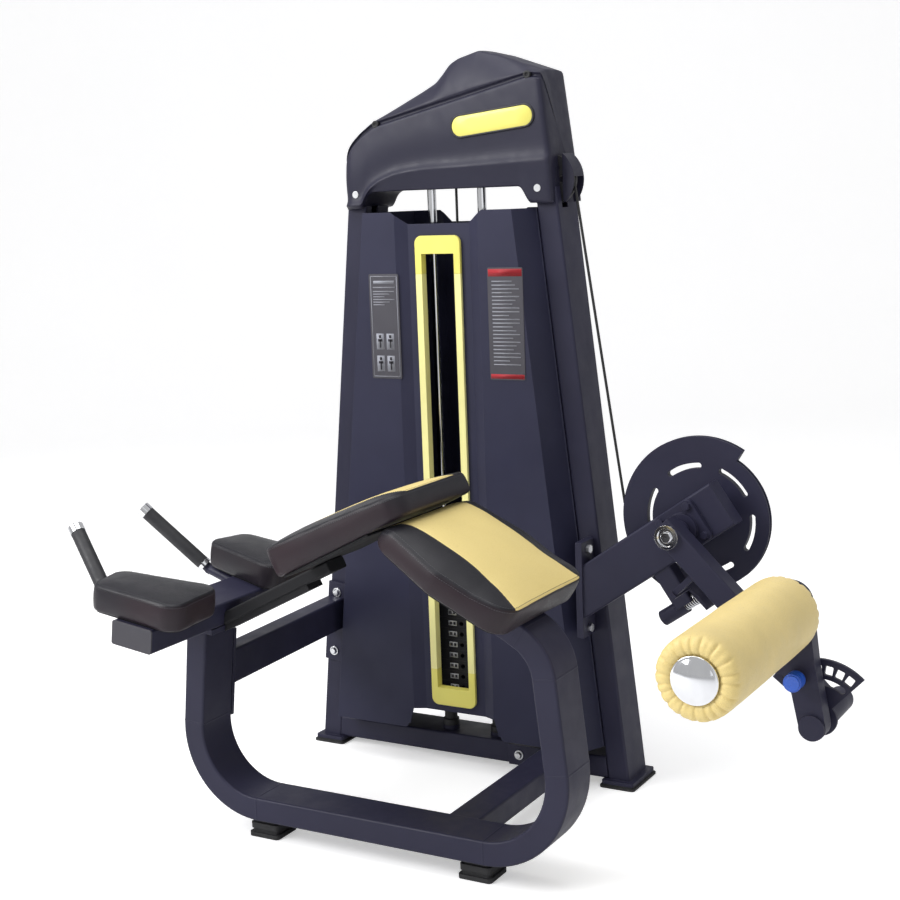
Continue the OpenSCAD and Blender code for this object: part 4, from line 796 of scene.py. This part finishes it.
    def pill(half_l, half_h, y, n=20):
        pts = [(math.copysign(half_l - half_h, math.cos(a)) + half_h * math.cos(a), y, half_h * math.sin(a))
               for a in (2 * math.pi * (k + 0.5) / (2 * n) for k in range(2 * n))]
        return [Vector(p) * MM for p in pts]
    for name, layers, mat, slot in (
            ("badge_rim",
             [(103, 25.5, 513), (103, 25.5, 508.6), (101.5, 24, 507.6), (99, 21.8, 507.8), (98.5, 21.4, 512)],
             MATS["pulley_plastic"], "pulley_plastic"),
            ("badge_plate",
             [(98.8, 22.4, 513), (98.6, 22.2, 508.8), (97.4, 21, 507.9), (60, 14, 507.4), (30, 6, 507.2)],
             MATS["yellow_plastic"], "yellow_plastic")):
        verts = [p for l, h, y in layers for p in pill(l, h, y)]
        faces = grid_faces(len(layers), 40, wrap_cols=True) + [tuple(range(40)), tuple(range(160, 200))]
        ob = make(name, verts, faces, mat, matrix=tilt, slot=slot)
    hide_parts("badge")


# ------------------------------------------------------------------ placards and plate labels
PRINT_LIGHT = moulded("print_light", (0.34, 0.35, 0.40), 0.5, 1200)
PRINT_RED = moulded("print_red", (0.42, 0.02, 0.03), 0.45, 1200)
LABEL_WHITE = moulded("label_white", (0.62, 0.63, 0.66), 0.45, 1200)
YELLOW_THREAD = moulded("yellow_thread", (0.62, 0.48, 0.18), 0.55, 2600)


def bars(rects, y, thick=0.35, r=0.6):
    """Thin rounded bars standing thick in front of the plane y."""
    return join([rounded_bar(x0, x1, z0, z1, y - thick, y, min(r, (x1 - x0) / 2.2, (z1 - z0) / 2.2))
                 for x0, x1, z0, z1 in rects])


def placards():
    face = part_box("placards")[0][1] / MM
    x0, x1, z0, z1 = -176, -102, 914, 1146
    frame_lines = [(x0 + 2, x1 - 2, z1 - 4, z1 - 2.4), (x0 + 2, x1 - 2, z0 + 2.4, z0 + 4),
                   (x0 + 2, x0 + 3.6, z0 + 3, z1 - 3), (x1 - 3.6, x1 - 2, z0 + 3, z1 - 3)]
    # a title bar, a rule, a column of six short bars, and four plain pictogram tiles
    rects = frame_lines + [(x0 + 10, x1 - 10, z1 - 20, z1 - 13), (x0 + 8, x1 - 8, z1 - 29, z1 - 27)]
    rects += [(x0 + 8, x1 - 10 - 13 * (k % 3), z1 - 38 - 6 * k, z1 - 36 - 6 * k) for k in range(6)]
    tiles = [(x0 + 12 + 27 * i, z0 + 14 + 50 * j) for i in (0, 1) for j in (0, 1)]
    rects += [(x, x + 20, z, z + 36) for x, z in tiles]
    make("left_placard_marks", *bars(rects, face), PRINT_LIGHT, slot="placard_plastic")
    dark = [(x + 8 - w, x + 12 + w, z + 4 + h, z + 8 + h + t)
            for x, z in tiles for w, h, t in ((0, 0, 14), (4, 14, 2), (1, 22, 3))]
    make("left_placard_figures", *bars(dark, face - 0.35, 0.25), MATS["placard_plastic"],
         slot="placard_plastic")
    x0, x1, z0, z1 = 128, 210, 918, 1158
    bands = [(x0, x1, z1 - 17, z1 - 1), (x0, x1, z0 + 1, z0 + 11)]
    make("right_placard_bands", *bars(bands, face), PRINT_RED, slot="placard_plastic")
    # lines of print: every third is short, and every fourth a little short
    lines = []
    for k in range(23):
        top = z1 - 26.6 - 8.2 * k
        lines.append((x0 + 8, x1 - 8 - 17 * (k * 5 % 3 == 0) - 9 * (k % 4 == 1), top - 2.4, top))
    make("right_placard_marks", *bars(lines, face), PRINT_LIGHT, slot="placard_plastic")


def plate_labels():
    """A small sticker with two bars beside each plate's pin hole, on the body that carries the plate."""
    stacks = (("plate_labels", "weight_plates", "frame"),
              ("lifted_plate_labels", "lifted_plates", "lifted_stack"))
    for name, node, body in stacks:
        lo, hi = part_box(node)
        face, pitch = lo[1] / MM, 25.4
        count = round((hi[2] - lo[2]) / MM / pitch + 0.01)
        rects, ink = [], []
        for k in range(count):
            z = lo[2] / MM + 12.5 + k * pitch
            rects.append((-34, -12, z - 6, z + 6))
            ink += [(-31, -24, z - 3.6, z + 3.6), (-21, -15, z - 3.6, z + 3.6)]
        make(name, *bars(rects, face, 0.3), LABEL_WHITE, body, slot="placard_plastic")
        make(name + "_bars", *bars(ink, face - 0.3, 0.2), MATS["placard_plastic"], body,
             slot="placard_plastic")


upholster()
ankle_roller()
shroud()
placards()
plate_labels()


# ------------------------------------------------------------------ stage, camera, light
YAW, PITCH, ROLL = (math.radians(a) for a in (29.912, 9.142, -2.106))


def make_camera():
    fwd = Vector((-math.sin(YAW) * math.cos(PITCH), math.cos(YAW) * math.cos(PITCH), -math.sin(PITCH)))
    side = Vector((math.cos(YAW), math.sin(YAW), 0))
    up = side.cross(fwd)
    right = math.cos(ROLL) * side + math.sin(ROLL) * up
    top = -math.sin(ROLL) * side + math.cos(ROLL) * up
    cam = bpy.data.objects.new("camera", bpy.data.cameras.new("camera"))
    cam.data.sensor_width = 36.0
    cam.data.lens = 63.766
    m = Matrix.Identity(4)
    for i, v in enumerate((right, top, -fwd)):
        for j in range(3):
            m[j][i] = v[j]
    m.translation = P(1771.75, -2580.46, 1321.39)
    cam.matrix_world = m
    bpy.context.collection.objects.link(cam)
    bpy.context.scene.camera = cam


def floor_material():
    m = Mat("studio_floor")
    m.set(color=m.mix(m.noise(1.2, 3), (0.90, 0.90, 0.91), (0.93, 0.93, 0.935)), rough=0.75, spec=0.2)
    m.bump(m.noise(180, 3), 0.0004, 0.15)
    # the backdrop reads as a bright sweep to the camera without lighting the object more
    path = m.node("ShaderNodeLightPath")
    m.b.inputs["Emission Color"].default_value = (1, 1, 1, 1)
    m.link(m.math("MULTIPLY", path.outputs["Is Camera Ray"], 0.42), m.b.inputs["Emission Strength"])
    return m.done()


def area(name, loc, target, size, power, colour=(1, 1, 1)):
    light = bpy.data.objects.new(name, bpy.data.lights.new(name, "AREA"))
    light.data.shape = "RECTANGLE"
    light.data.size, light.data.size_y = size
    light.data.energy = power
    light.data.color = colour
    light.location = loc
    light.rotation_euler = (Vector(target) - Vector(loc)).to_track_quat("-Z", "Y").to_euler()
    bpy.context.collection.objects.link(light)


def make_stage():
    me = bpy.data.meshes.new("floor")
    s, back, r = 14.0, 9.0, 3.0
    # floor that curves up into a backdrop behind the object
    prof = [(-s, 0.0), (back - r, 0.0)]
    prof += [(back - r + r * math.sin(a), r - r * math.cos(a)) for a in np.linspace(0.08, math.pi / 2, 14)]
    prof += [(back, 12.0)]
    vs = [(x, y, z - 0.0006) for x in (-s, s) for y, z in prof]
    n = len(prof)
    me.from_pydata(vs, [], [(i, i + 1, n + i + 1, n + i) for i in range(n - 1)])
    for p in me.polygons:
        p.use_smooth = True
    ob = bpy.data.objects.new("studio_floor", me)
    ob.data.materials.append(floor_material())
    bpy.context.collection.objects.link(ob)
    ob.matrix_world = Matrix.Rotation(YAW, 4, "Z")
    world = bpy.data.worlds.new("world")
    world.use_nodes = True
    bg = world.node_tree.nodes["Background"]
    bg.inputs[0].default_value = (1.0, 1.0, 1.0, 1)
    bg.inputs[1].default_value = 0.52
    bpy.context.scene.world = world
    area("key", P(-2300, -2600, 2900), P(0, 200, 700), (2.4, 2.0), 128)
    area("fill", P(2900, -2300, 1700), P(100, 200, 700), (2.6, 2.2), 8, (0.95, 0.97, 1.0))
    area("top", P(0, -200, 3600), P(0, 200, 600), (3.2, 2.4), 62)
    view = bpy.context.scene.view_settings
    view.view_transform = "Standard"
    view.look = "None"
    view.exposure = 0.0


make_camera()
make_stage()
